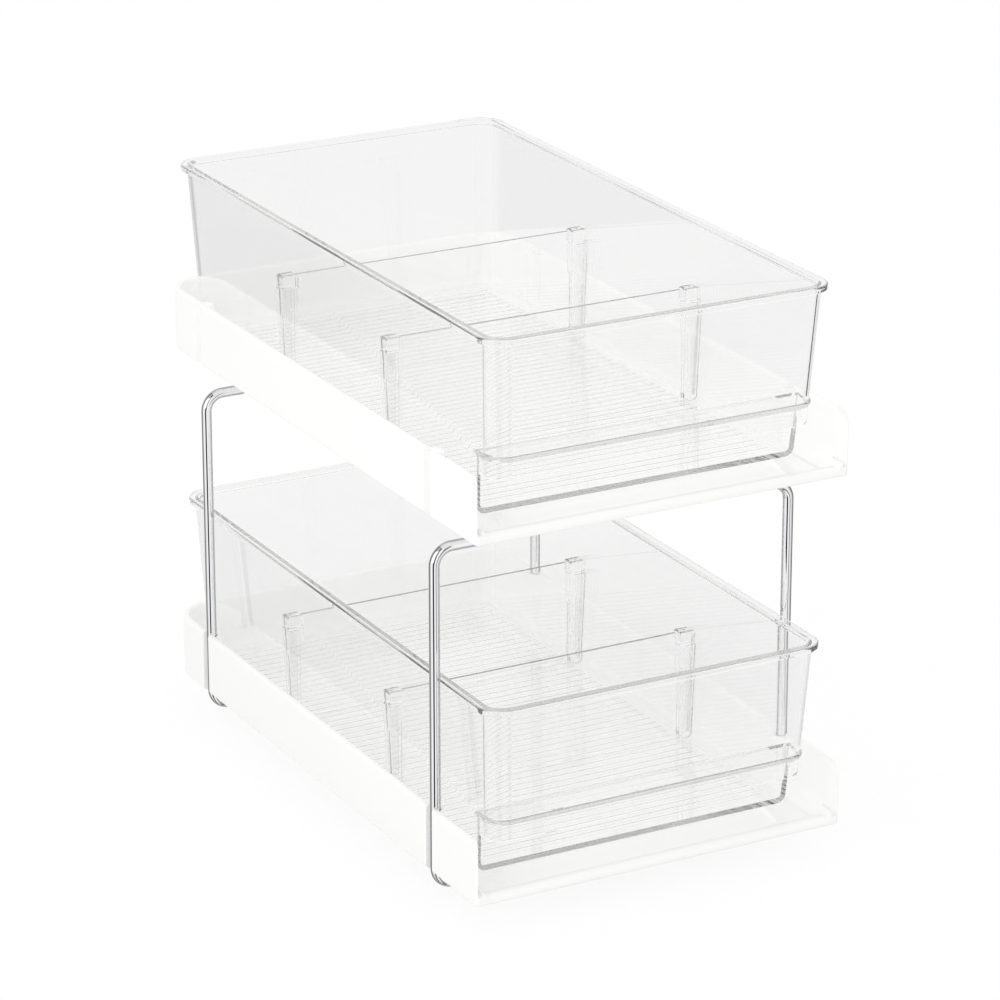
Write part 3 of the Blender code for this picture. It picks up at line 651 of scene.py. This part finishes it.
def add_half_round(shape, side, along, radius, reach, bottom, top):
    """Add an upright shape, half-round about a leg on its inside and drawn out sideways to its reach."""
    outer = side * reach
    turn = 0 if side > 0 else 180
    outline = arc(side * LEG_X, along, radius, 90 + turn, 270 + turn, CIRCLE_STEPS // 2)
    outline += [(outer, along - side * radius), (outer, along + side * radius)]
    add_prism(shape, outline, "Z", bottom, top)


def add_pilaster(shape, side, along):
    """Add the half-round bulge that closes the wall behind a leg's groove."""
    reach = TRAY_WIDTH / 2 - TRAY_WALL / 2
    top = TRAY_WALL_HEIGHT - TRAY_TOP_ROUND
    add_half_round(shape, side, along, PILASTER_RADIUS, reach, TRAY_FLOOR - JOIN_DEPTH, top)


def add_foot(shape, side, along):
    """Add a tapered foot under the floor, so far in that the photograph's view doesn't show it."""
    middle = side * FOOT_SPACING / 2
    levels = []
    for height, draft in ((-FOOT_HEIGHT, FOOT_DRAFT), (0.0, 0.0), (TRAY_FLOOR / 2, 0.0)):
        half_width = FOOT_WIDTH / 2 - draft
        half_length = FOOT_LENGTH / 2 - draft
        outline = rounded_rectangle(
            half_width, along - half_length, along + half_length, FOOT_CORNER, FOOT_CORNER
        )
        levels.append((height, [(x + middle, y) for x, y in outline]))
    add_loft(shape, levels)


def tray_additions():
    """What stands on and under the tray's floor: sill, rails, pilasters and feet."""
    shape = bmesh.new()
    sill_half = TRAY_INNER_HALF + JOIN_DEPTH
    add_prism(shape, sill_outline(), "X", -sill_half, sill_half)
    for side in (-1, 1):
        add_rail(shape, side * RAIL_SPACING / 2)
        for along in LOOP_PLACES:
            add_pilaster(shape, side, along)
            add_foot(shape, side, along)
    return workshop_object(shape, "tray_additions")


def add_leg_groove(shape, side, along):
    """Add the upright groove that a leg lies in, open to the tray's side."""
    reach = TRAY_WIDTH / 2 + CUT_PAST
    top = TRAY_WALL_HEIGHT + CUT_PAST
    add_half_round(shape, side, along, GROOVE_RADIUS, reach, -TRAY_BOTTOM_ROUND, top)


def add_snap_seat(shape, along):
    """Add the keyhole through a pair of feet: a round seat for the bar over a narrower throat."""
    radius = WIRE_RADIUS + RUNNING_GAP
    opening = math.degrees(math.asin(THROAT_HALF / radius))
    below = -FOOT_HEIGHT - CUT_PAST
    outline = arc(along, -BAR_DROP, radius, opening - 90, 270 - opening, CIRCLE_STEPS)
    outline += [(along - THROAT_HALF, below), (along + THROAT_HALF, below)]
    add_prism(shape, outline, "X", -LEG_X, LEG_X)


def add_shoulder_cut(shape):
    """Add the corner that is taken off the side walls' front ends, leaving a round shoulder."""
    front = -TRAY_DEPTH / 2
    round_start = TRAY_WALL_HEIGHT - TRAY_SHOULDER
    outline = [(front - CUT_PAST, TRAY_WALL_HEIGHT + CUT_PAST), (front - CUT_PAST, round_start)]
    outline += arc(front + TRAY_SHOULDER, round_start, TRAY_SHOULDER, 180, 90, CORNER_STEPS)
    outline += [(front + TRAY_SHOULDER, TRAY_WALL_HEIGHT + CUT_PAST)]
    add_prism(shape, outline, "X", -TRAY_WIDTH, TRAY_WIDTH)


def add_wall_end_cut(shape, side):
    """Add the curved taper that thins a side wall towards its front end, on the inside."""
    front = -TRAY_DEPTH / 2
    thinned = TRAY_WALL - WALL_END_THICKNESS
    radius = (WALL_END_TAPER ** 2 + thinned ** 2) / (2 * thinned)
    sweep = math.degrees(math.asin(WALL_END_TAPER / radius))
    centre = TRAY_INNER_HALF + radius
    outline = []
    for across, along in arc(centre, front + WALL_END_TAPER, radius, 180, 180 + sweep, CORNER_STEPS):
        outline.append((side * across, along))
    inside = TRAY_INNER_HALF - JOIN_DEPTH
    outline += [(outline[-1][0], front - CUT_PAST), (side * inside, front - CUT_PAST)]
    outline.append((side * inside, front + WALL_END_TAPER))
    add_prism(shape, outline, "Z", RAIL_TOP + SILL_CLEARANCE, TRAY_WALL_HEIGHT + CUT_PAST)


def tray_cuts():
    """The cuts made after the additions: leg grooves, snap seats, shoulders and wall ends."""
    shape = bmesh.new()
    for along in LOOP_PLACES:
        add_snap_seat(shape, along)
        for side in (-1, 1):
            add_leg_groove(shape, side, along)
    add_shoulder_cut(shape)
    tapers = bmesh.new()
    for side in (-1, 1):
        add_wall_end_cut(tapers, side)
    return workshop_object(shape, "tray_cuts"), workshop_object(tapers, "wall_end_tapers")


def build_tray_mesh():
    """The tray: a low walled floor, open in front, on four feet."""
    body = tray_block()
    combine(body, "DIFFERENCE", tray_hollow())
    combine(body, "UNION", tray_additions())
    for cut in tray_cuts():
        combine(body, "DIFFERENCE", cut)
    return finished_mesh(body, "tray")


def loop_points():
    """Centre line of a wire loop in its own plane, a rectangle with round corners."""
    half = LOOP_HEIGHT / 2
    outline = []
    for across, up, start in ((1, -1, -90), (1, 1, 0), (-1, 1, 90), (-1, -1, 180)):
        centre_x = across * (LEG_X - WIRE_BEND)
        centre_z = up * (half - WIRE_BEND)
        outline += arc(centre_x, centre_z, WIRE_BEND, start, start + 90, WIRE_BEND_STEPS)
    return outline


def drawer_front(height):
    """Where the drawer's front wall has its outer face at a height above the base."""
    return RIM_FRONT + RIM_OVERHANG + (DRAWER_HEIGHT - height) * math.tan(DRAWER_END_DRAFT)


def drawer_rear(height):
    """Where the drawer's rear wall has its outer face at a height above the base."""
    return RIM_REAR - RIM_OVERHANG - (DRAWER_HEIGHT - height) * math.tan(DRAWER_END_DRAFT)


def drawer_half(height):
    """Half the drawer's outer width at a height above the base."""
    return DRAWER_BASE_HALF + height * math.tan(DRAWER_SIDE_DRAFT)


def drawer_level(height, outward):
    """A level of the drawer: its height and its outline moved outward, or inward if negative."""
    radius = DRAWER_CORNER + outward
    outline = rounded_rectangle(
        drawer_half(height) + outward,
        drawer_front(height) - outward,
        drawer_rear(height) + outward,
        radius,
        radius,
    )
    return height, outline


def drawer_block():
    """The drawer's outside as a full block, drafted, with its rim turned out at the top."""
    levels = [drawer_level(rise, -draw) for rise, draw in round_edge(DRAWER_BOTTOM_ROUND, ROUND_STEPS)]
    rim_bottom = DRAWER_HEIGHT - RIM_FACE
    levels.append(drawer_level(rim_bottom, 0.0))
    levels.append(drawer_level(rim_bottom, RIM_OVERHANG - RIM_LOWER_ROUND))
    levels.append(drawer_level(rim_bottom + RIM_LOWER_ROUND, RIM_OVERHANG))
    for rise, draw in reversed(round_edge(RIM_ROUND, ROUND_STEPS)):
        levels.append(drawer_level(DRAWER_HEIGHT - rise, RIM_OVERHANG - draw))
    shape = bmesh.new()
    add_loft(shape, levels)
    return workshop_object(shape, "drawer_block")


def pull_face(height):
    """Where the finger pull's leaning panel has its front face at a height above the base."""
    return drawer_front(PULL_LEDGE_HEIGHT) + PULL_DEPTH - PULL_LEAN * height / PULL_LEDGE_HEIGHT


def front_block(name, bottom, top, behind):
    """A block from well before the drawer to a distance behind the panel's front face."""
    outline = [(-TRAY_DEPTH, bottom), (pull_face(bottom) + behind, bottom)]
    outline += [(pull_face(top) + behind, top), (-TRAY_DEPTH, top)]
    shape = bmesh.new()
    add_prism(shape, outline, "X", -TRAY_WIDTH, TRAY_WIDTH)
    return workshop_object(shape, name)


def drawer_hollow():
    """The space inside the drawer, stepped at the front over the finger pull."""
    levels = [
        drawer_level(DRAWER_FLOOR + rise, -DRAWER_WALL - draw)
        for rise, draw in round_edge(DRAWER_INNER_FILLET, FILLET_STEPS)
    ]
    for rise, draw in round_edge(RIM_INNER_ROUND, ROUND_STEPS):
        levels.append(drawer_level(DRAWER_HEIGHT - draw, rise - DRAWER_WALL))
    levels.append(drawer_level(DRAWER_HEIGHT + CUT_PAST, RIM_INNER_ROUND - DRAWER_WALL))
    shape = bmesh.new()
    add_loft(shape, levels)
    hollow = workshop_object(shape, "drawer_hollow")
    combine(hollow, "DIFFERENCE", front_block("drawer_step", -CUT_PAST, PULL_LEDGE_HEIGHT, PULL_PANEL))
    return hollow


def finger_space():
    """The space behind the lip and under the ledge, as wide as the drawer's inside."""
    shape = bmesh.new()
    under_ledge = PULL_LEDGE_HEIGHT - PULL_LEDGE
    add_loft(shape, [drawer_level(-CUT_PAST, -DRAWER_WALL), drawer_level(under_ledge, -DRAWER_WALL)])
    space = workshop_object(shape, "finger_space")
    combine(space, "INTERSECT", front_block("finger_space_front", -2 * CUT_PAST, DRAWER_HEIGHT, 0.0))
    return space


def under_lip():
    """The space below the lip, from the panel forward."""
    return front_block("under_lip", -CUT_PAST, LIP_BOTTOM, 0.0)


def add_channel_rib(shape, side, near, far):
    """Add one upright rib on a side wall, its inner face plumb and its root in the drafted wall."""
    face = side * CHANNEL_FACE
    levels = []
    for height in (DRAWER_FLOOR - JOIN_DEPTH, CHANNEL_HEIGHT):
        root = side * (drawer_half(height) - DRAWER_WALL / 2)
        levels.append((height, rectangle(min(face, root), max(face, root), near, far)))
    add_loft(shape, levels)


def floor_rib_outline(middle):
    """Side view of a low round-topped rib across the drawer's floor."""
    half = FLOOR_RIB_WIDTH / 2
    radius = (half ** 2 + ROUND_RIB_HEIGHT ** 2) / (2 * ROUND_RIB_HEIGHT)
    spread = math.degrees(math.asin(half / radius))
    centre = DRAWER_FLOOR + ROUND_RIB_HEIGHT - radius
    root = DRAWER_FLOOR - JOIN_DEPTH
    crown = arc(middle, centre, radius, 90 - spread, 90 + spread, RIB_STEPS)
    return crown + [(middle - half, root), (middle + half, root)]


def drawer_ribs():
    """The ribs across the floor and the channel ribs on the side walls."""
    shape = bmesh.new()
    half = DRAWER_BASE_HALF - DRAWER_WALL - FLOOR_RIB_SIDE_INSET
    start = pull_face(DRAWER_FLOOR) + PULL_PANEL + FLOOR_RIB_END_INSET
    end = drawer_rear(DRAWER_FLOOR) - DRAWER_WALL - FLOOR_RIB_END_INSET
    count = int((end - start - FLOOR_RIB_WIDTH) / FLOOR_RIB_PITCH) + 1
    for index in range(count):
        middle = start + index * FLOOR_RIB_PITCH + FLOOR_RIB_WIDTH / 2
        add_prism(shape, floor_rib_outline(middle), "X", -half, half)
    for middle in DIVIDER_PLACES.values():
        for side in (-1, 1):
            inner = CHANNEL_GAP / 2
            outer = inner + CHANNEL_RIB
            add_channel_rib(shape, side, middle - outer, middle - inner)
            add_channel_rib(shape, side, middle + inner, middle + outer)
    return workshop_object(shape, "drawer_ribs")


def ledge_bead():
    """The bead round the drawer's front at the ledge, half-round, ending over the pull's panel."""
    shape = bmesh.new()
    levels = []
    for step in range(2 * ROUND_STEPS + 1):
        angle = math.pi * step / (2 * ROUND_STEPS)
        height = BEAD_MIDDLE - BEAD_HEIGHT / 2 * math.cos(angle)
        levels.append(drawer_level(height, BEAD_RISE * math.sin(angle)))
    add_loft(shape, levels)
    bead = workshop_object(shape, "ledge_bead")
    core = bmesh.new()
    inside = [drawer_level(BEAD_MIDDLE + side * BEAD_HEIGHT, -DRAWER_WALL / 2) for side in (-1, 1)]
    add_loft(core, inside)
    combine(bead, "DIFFERENCE", workshop_object(core, "bead_core"))
    combine(bead, "INTERSECT", front_block("bead_front", 0.0, DRAWER_HEIGHT, PULL_PANEL))
    return bead


def build_drawer_mesh():
    """The drawer: a drafted clear bin with a rim, a finger pull, floor ribs and divider channels."""
    body = drawer_block()
    combine(body, "DIFFERENCE", drawer_hollow())
    combine(body, "DIFFERENCE", finger_space())
    combine(body, "DIFFERENCE", under_lip())
    combine(body, "UNION", drawer_ribs())
    combine(body, "UNION", ledge_bead())
    return finished_mesh(body, "drawer")


def post_outer(height):
    """How far out a divider's post reaches at a height above the drawer's base."""
    return drawer_half(height) - DRAWER_WALL - DIVIDER_WALL_GAP


def add_side_levels(shape, side, levels):
    """Add a body through levels of height, inner and outer reach, and half width along Y."""
    drawn = []
    for height, inner, outer, half in levels:
        left = min(side * inner, side * outer)
        right = max(side * inner, side * outer)
        drawn.append((height - DIVIDER_BOTTOM, rectangle(left, right, -half, half)))
    add_loft(shape, drawn)


def divider_posts():
    """The posts at a divider's ends, which slide in the channels."""
    inner = CHANNEL_FACE - DIVIDER_POST_REACH
    toe = DRAWER_BASE_HALF - DRAWER_WALL - DRAWER_INNER_FILLET
    toe_top = DRAWER_FLOOR + DRAWER_INNER_FILLET
    half = DIVIDER_POST_WIDTH / 2
    shape = bmesh.new()
    for side in (-1, 1):
        add_side_levels(shape, side, [
            (DIVIDER_BOTTOM, inner, toe, half),
            (toe_top, inner, post_outer(toe_top), half),
            (DIVIDER_HEAD_BOTTOM + JOIN_DEPTH, inner, post_outer(DIVIDER_HEAD_BOTTOM), half),
        ])
    return workshop_object(shape, "divider_posts")


def divider_heads():
    """The wider heads over the channels, rounded at the top."""
    inner = CHANNEL_FACE - DIVIDER_POST_REACH - DIVIDER_HEAD_OVERLAP
    half = CHANNEL_GAP / 2 + CHANNEL_RIB
    shape = bmesh.new()
    for side in (-1, 1):
        levels = [(DIVIDER_HEAD_BOTTOM, inner, post_outer(DIVIDER_HEAD_BOTTOM), half)]
        for rise, draw in reversed(round_edge(DIVIDER_HEAD_ROUND, ROUND_STEPS)):
            height = DIVIDER_TOP - rise
            levels.append((height, inner + draw, post_outer(height) - draw, half - draw))
        add_side_levels(shape, side, levels)
    return workshop_object(shape, "divider_heads")


def divider_clips():
    """The short pads with round lower ends on the posts' inner edges, below the heads."""
    inner = CHANNEL_FACE - DIVIDER_POST_REACH
    radius = DIVIDER_CLIP_WIDTH / 2
    top = DIVIDER_HEAD_BOTTOM - DIVIDER_BOTTOM + JOIN_DEPTH
    round_centre = top - DIVIDER_CLIP_LENGTH
    outline = arc(0.0, round_centre, radius, 180, 360, CIRCLE_STEPS // 2)
    outline += [(radius, top), (-radius, top)]
    shape = bmesh.new()
    for side in (-1, 1):
        add_prism(shape, outline, "X", side * (inner - DIVIDER_CLIP_RISE), side * (inner + JOIN_DEPTH))
    return workshop_object(shape, "divider_clips")


def build_divider_mesh():
    """The divider: a thin clear sheet between two posts."""
    shape = bmesh.new()
    half = DIVIDER_SHEET / 2
    add_box(shape, -CHANNEL_FACE, CHANNEL_FACE, -half, half, 0.0, DIVIDER_HEIGHT - DIVIDER_BOTTOM)
    body = workshop_object(shape, "divider_sheet")
    combine(body, "UNION", divider_posts())
    combine(body, "UNION", divider_heads())
    combine(body, "UNION", divider_clips())
    return finished_mesh(body, "divider")


def wire_loop_curve(name):
    """A loop of round wire in the XZ plane, to be stood across the trays."""
    curve = bpy.data.curves.new(name, "CURVE")
    curve.dimensions = "3D"
    curve.bevel_depth = WIRE_RADIUS
    curve.bevel_resolution = WIRE_RESOLUTION
    points = loop_points()
    spline = curve.splines.new("POLY")
    spline.points.add(len(points) - 1)
    for point, (x, z) in zip(spline.points, points):
        point.co = (x, 0.0, z, 1.0)
    spline.use_cyclic_u = True
    spline.use_smooth = True
    return curve


def set_finish(piece, material):
    """Put one material in every slot of a piece."""
    slots = piece.data.materials
    if not slots:
        slots.append(material)
    for index in range(len(slots)):
        slots[index] = material


def place_piece(name, data, location, finish, body, node):
    """Put a piece at its place, in its finish, on the body that carries it and in its node's stead."""
    piece = bpy.data.objects.new(name, data)
    piece.location = location
    bpy.context.scene.collection.objects.link(piece)
    set_finish(piece, finish)
    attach(piece, body)
    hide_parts(node)
    return piece


def keep_flat_faces_flat(piece):
    """Weigh the shading by face size, so broad walls stay flat beside round edges."""
    flat = piece.modifiers.new("flat_walls", "WEIGHTED_NORMAL")
    flat.keep_sharp = True


def place_trays(white):
    """Both trays, on the standing body."""
    mesh = build_tray_mesh()
    for tier, bottom in TIER_BOTTOMS.items():
        name = f"{tier}_tray"
        seat = (0.0, 0.0, bottom)
        tray = place_piece(f"{name}_moulding", mesh, seat, white, "stand", name)
        keep_flat_faces_flat(tray)


def place_wire_loops(chrome):
    """The front and rear wire loops, on the standing body."""
    for end, along in zip(("front", "rear"), LOOP_PLACES):
        name = f"{end}_wire_frame"
        seat = (0.0, along, FOOT_HEIGHT - BAR_DROP + LOOP_HEIGHT / 2)
        curve = wire_loop_curve(name)
        place_piece(f"{name}_loop", curve, seat, chrome, "stand", name)


def place_clear_piece(name, mesh, seat, clear):
    """Put a drawer or a divider on the body of its own name."""
    piece = place_piece(f"{name}_moulding", mesh, seat, clear, name, name)
    keep_flat_faces_flat(piece)


def place_drawers():
    """Both drawers, each on its own sliding body, and the dividers that stand in them."""
    clear = clear_moulded_polystyrene("clear_moulded_polystyrene", DRAWER_LEAK)
    sheet_clear = clear_moulded_polystyrene("clear_moulded_polystyrene_sheet", DIVIDER_LEAK)
    drawer_mesh = build_drawer_mesh()
    divider_mesh = build_divider_mesh()
    for tier, bottom in TIER_BOTTOMS.items():
        base = bottom + RAIL_TOP + RUNNING_GAP
        place_clear_piece(f"{tier}_drawer", drawer_mesh, (0.0, 0.0, base), clear)
        for end, along in DIVIDER_PLACES.items():
            seat = (0.0, along, base + DIVIDER_BOTTOM)
            place_clear_piece(f"{tier}_{end}_divider", divider_mesh, seat, sheet_clear)


def aim_at_organizer(thing, azimuth, elevation, distance):
    """Stand a camera or lamp back from the organizer's middle, level, and turn it towards that."""
    flat = math.cos(elevation)
    back = Vector((math.sin(azimuth) * flat, -math.cos(azimuth) * flat, math.sin(elevation)))
    thing.location = VIEW_AIM + distance * back
    thing.rotation_mode = "QUATERNION"
    thing.rotation_quaternion = (-back).to_track_quat("-Z", "Y")
    bpy.context.scene.collection.objects.link(thing)


def add_camera():
    """The camera at the photograph's place."""
    data = bpy.data.cameras.new("photo_camera")
    data.sensor_width = SENSOR_WIDTH
    data.lens = FOCAL_LENGTH
    data.clip_start = NEAREST_SEEN
    data.clip_end = FARTHEST_SEEN
    camera = bpy.data.objects.new("photo_camera", data)
    aim_at_organizer(camera, VIEW_AZIMUTH, VIEW_ELEVATION, VIEW_DISTANCE)
    bpy.context.scene.camera = camera


def add_softbox():
    """A square softbox at the front left, which clear plastic doesn't show."""
    data = bpy.data.lights.new("front_left_softbox", "AREA")
    data.shape = "SQUARE"
    data.size = SOFTBOX_SIZE
    data.energy = SOFTBOX_POWER
    box = bpy.data.objects.new("front_left_softbox", data)
    box.visible_transmission = False
    aim_at_organizer(box, SOFTBOX_AZIMUTH, SOFTBOX_ELEVATION, SOFTBOX_DISTANCE)


def stage_sheet(name, half, material):
    """A flat square sheet of the stage, which isn't part of the organizer."""
    shape = bmesh.new()
    bmesh.ops.create_grid(shape, x_segments=1, y_segments=1, size=half)
    mesh = bpy.data.meshes.new(name)
    shape.to_mesh(mesh)
    shape.free()
    mesh.materials.append(material)
    sheet = bpy.data.objects.new(name, mesh)
    bpy.context.scene.collection.objects.link(sheet)
    return sheet


def soft_edged_cloth(name, grey):
    """Matt grey cloth that fades out to its sides, and that polished faces don't mirror."""
    material = new_material(name)
    tree = material.node_tree
    cloth = add_node(tree, "ShaderNodeBsdfDiffuse", inputs={"Color": linear(grey)})
    open_way = add_node(tree, "ShaderNodeBsdfTransparent")
    place = add_node(tree, "ShaderNodeTexCoord").outputs["Generated"]
    along = add_node(tree, "ShaderNodeSeparateXYZ", inputs={"Vector": place}).outputs["X"]
    off_middle = add_node(tree, "ShaderNodeMath", {"operation": "SUBTRACT"}, {
        0: along, 1: CARD_HALF})
    reach = add_node(tree, "ShaderNodeMath", {"operation": "ABSOLUTE"}, {
        0: off_middle.outputs["Value"]})
    soft_edge = add_node(tree, "ShaderNodeMapRange", inputs={
        "Value": reach.outputs["Value"], "From Min": CARD_FADE_START, "From Max": CARD_HALF})
    rays = add_node(tree, "ShaderNodeLightPath").outputs
    clearness = add_node(tree, "ShaderNodeMath", {"operation": "MAXIMUM"}, {
        0: soft_edge.outputs["Result"], 1: mirror_ray(tree, rays)})
    surface = add_node(tree, "ShaderNodeMixShader", inputs={
        0: clearness.outputs["Value"], 1: cloth.outputs["BSDF"], 2: open_way.outputs["BSDF"]})
    add_node(tree, "ShaderNodeOutputMaterial", inputs={"Surface": surface.outputs["Shader"]})
    return material


def add_flag(name, place, turn, width, grey):
    """A soft-edged card, seen only through clear plastic, whose round corners it draws dark."""
    card = stage_sheet(name, CARD_HALF, soft_edged_cloth(name, grey))
    card.scale = (width, FLAG_HEIGHT, 1.0)
    card.location = (*place, FLAG_HEIGHT / 2)
    card.rotation_euler = (math.pi / 2, 0.0, math.radians(turn))
    card.visible_camera = False
    card.visible_diffuse = False
    card.visible_shadow = False


def room_stops():
    """The room's tone all the way round, starting at its left: pale, with soft-edged dark strips."""
    stops = [(0.0, ROOM_WHITE)]
    for azimuth, half, grey in MIRRORED_STRIPS:
        middle = (azimuth + 90.0) / 360.0 % 1.0
        outer = half + STRIP_FADE
        for off, colour in ((-outer, ROOM_WHITE), (-half, grey), (half, grey), (outer, ROOM_WHITE)):
            stops.append((middle + off / 360.0, colour))
    return stops + [(1.0, ROOM_WHITE)]


def light_the_stage():
    """An even pale world, with dark strips and a darker ceiling for polished faces, and the softbox."""
    world = bpy.data.worlds.new("studio")
    bpy.context.scene.world = world
    world.use_nodes = True
    world.cycles.sampling_method = "NONE"
    tree = world.node_tree
    tree.nodes.clear()
    rays = add_node(tree, "ShaderNodeLightPath").outputs
    heading = add_node(tree, "ShaderNodeTexCoord").outputs["Generated"]
    turn = add_node(tree, "ShaderNodeTexGradient", {"gradient_type": "RADIAL"}, {"Vector": heading})
    strips = add_node(tree, "ShaderNodeValToRGB", inputs={"Fac": turn.outputs["Fac"]})
    set_stops(strips.color_ramp, room_stops())
    tint = add_node(tree, "ShaderNodeMix", {"data_type": "RGBA"}, {
        "Factor": mirror_ray(tree, rays), "A": linear("#FFFFFF"), "B": strips.outputs["Color"]})
    rise = add_node(tree, "ShaderNodeSeparateXYZ", inputs={"Vector": heading}).outputs["Z"]
    ceiling = add_node(tree, "ShaderNodeMapRange", inputs={
        "Value": rise, "From Min": CEILING_START, "From Max": CEILING_END,
        "To Min": 1.0, "To Max": CEILING_LIGHT})
    level = add_node(tree, "ShaderNodeMix", {"data_type": "FLOAT"}, {
        "Factor": rays["Is Glossy Ray"], "A": 1.0, "B": ceiling.outputs["Result"]})
    light = add_node(tree, "ShaderNodeBackground", inputs={
        "Color": tint.outputs["Result"], "Strength": level.outputs["Result"]})
    add_node(tree, "ShaderNodeOutputWorld", inputs={"Surface": light.outputs["Background"]})
    add_softbox()


def set_light_bounces(cycles):
    """Let light pass the many clear walls that stand one behind the other."""
    cycles.max_bounces = 48
    cycles.diffuse_bounces = 12
    cycles.glossy_bounces = 40
    cycles.transmission_bounces = 40
    cycles.transparent_max_bounces = 32
    cycles.blur_glossy = 0.0


def main():
    """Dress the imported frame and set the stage."""
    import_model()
    place_trays(white_moulded_polypropylene())
    place_wire_loops(chromed_steel_wire())
    place_drawers()
    add_camera()
    stage_sheet("floor", FLOOR_HALF, seamless_paper())
    for flag in FLAGS:
        add_flag(*flag)
    light_the_stage()
    bpy.context.scene.view_settings.view_transform = "Standard"
    set_light_bounces(bpy.context.scene.cycles)


main()
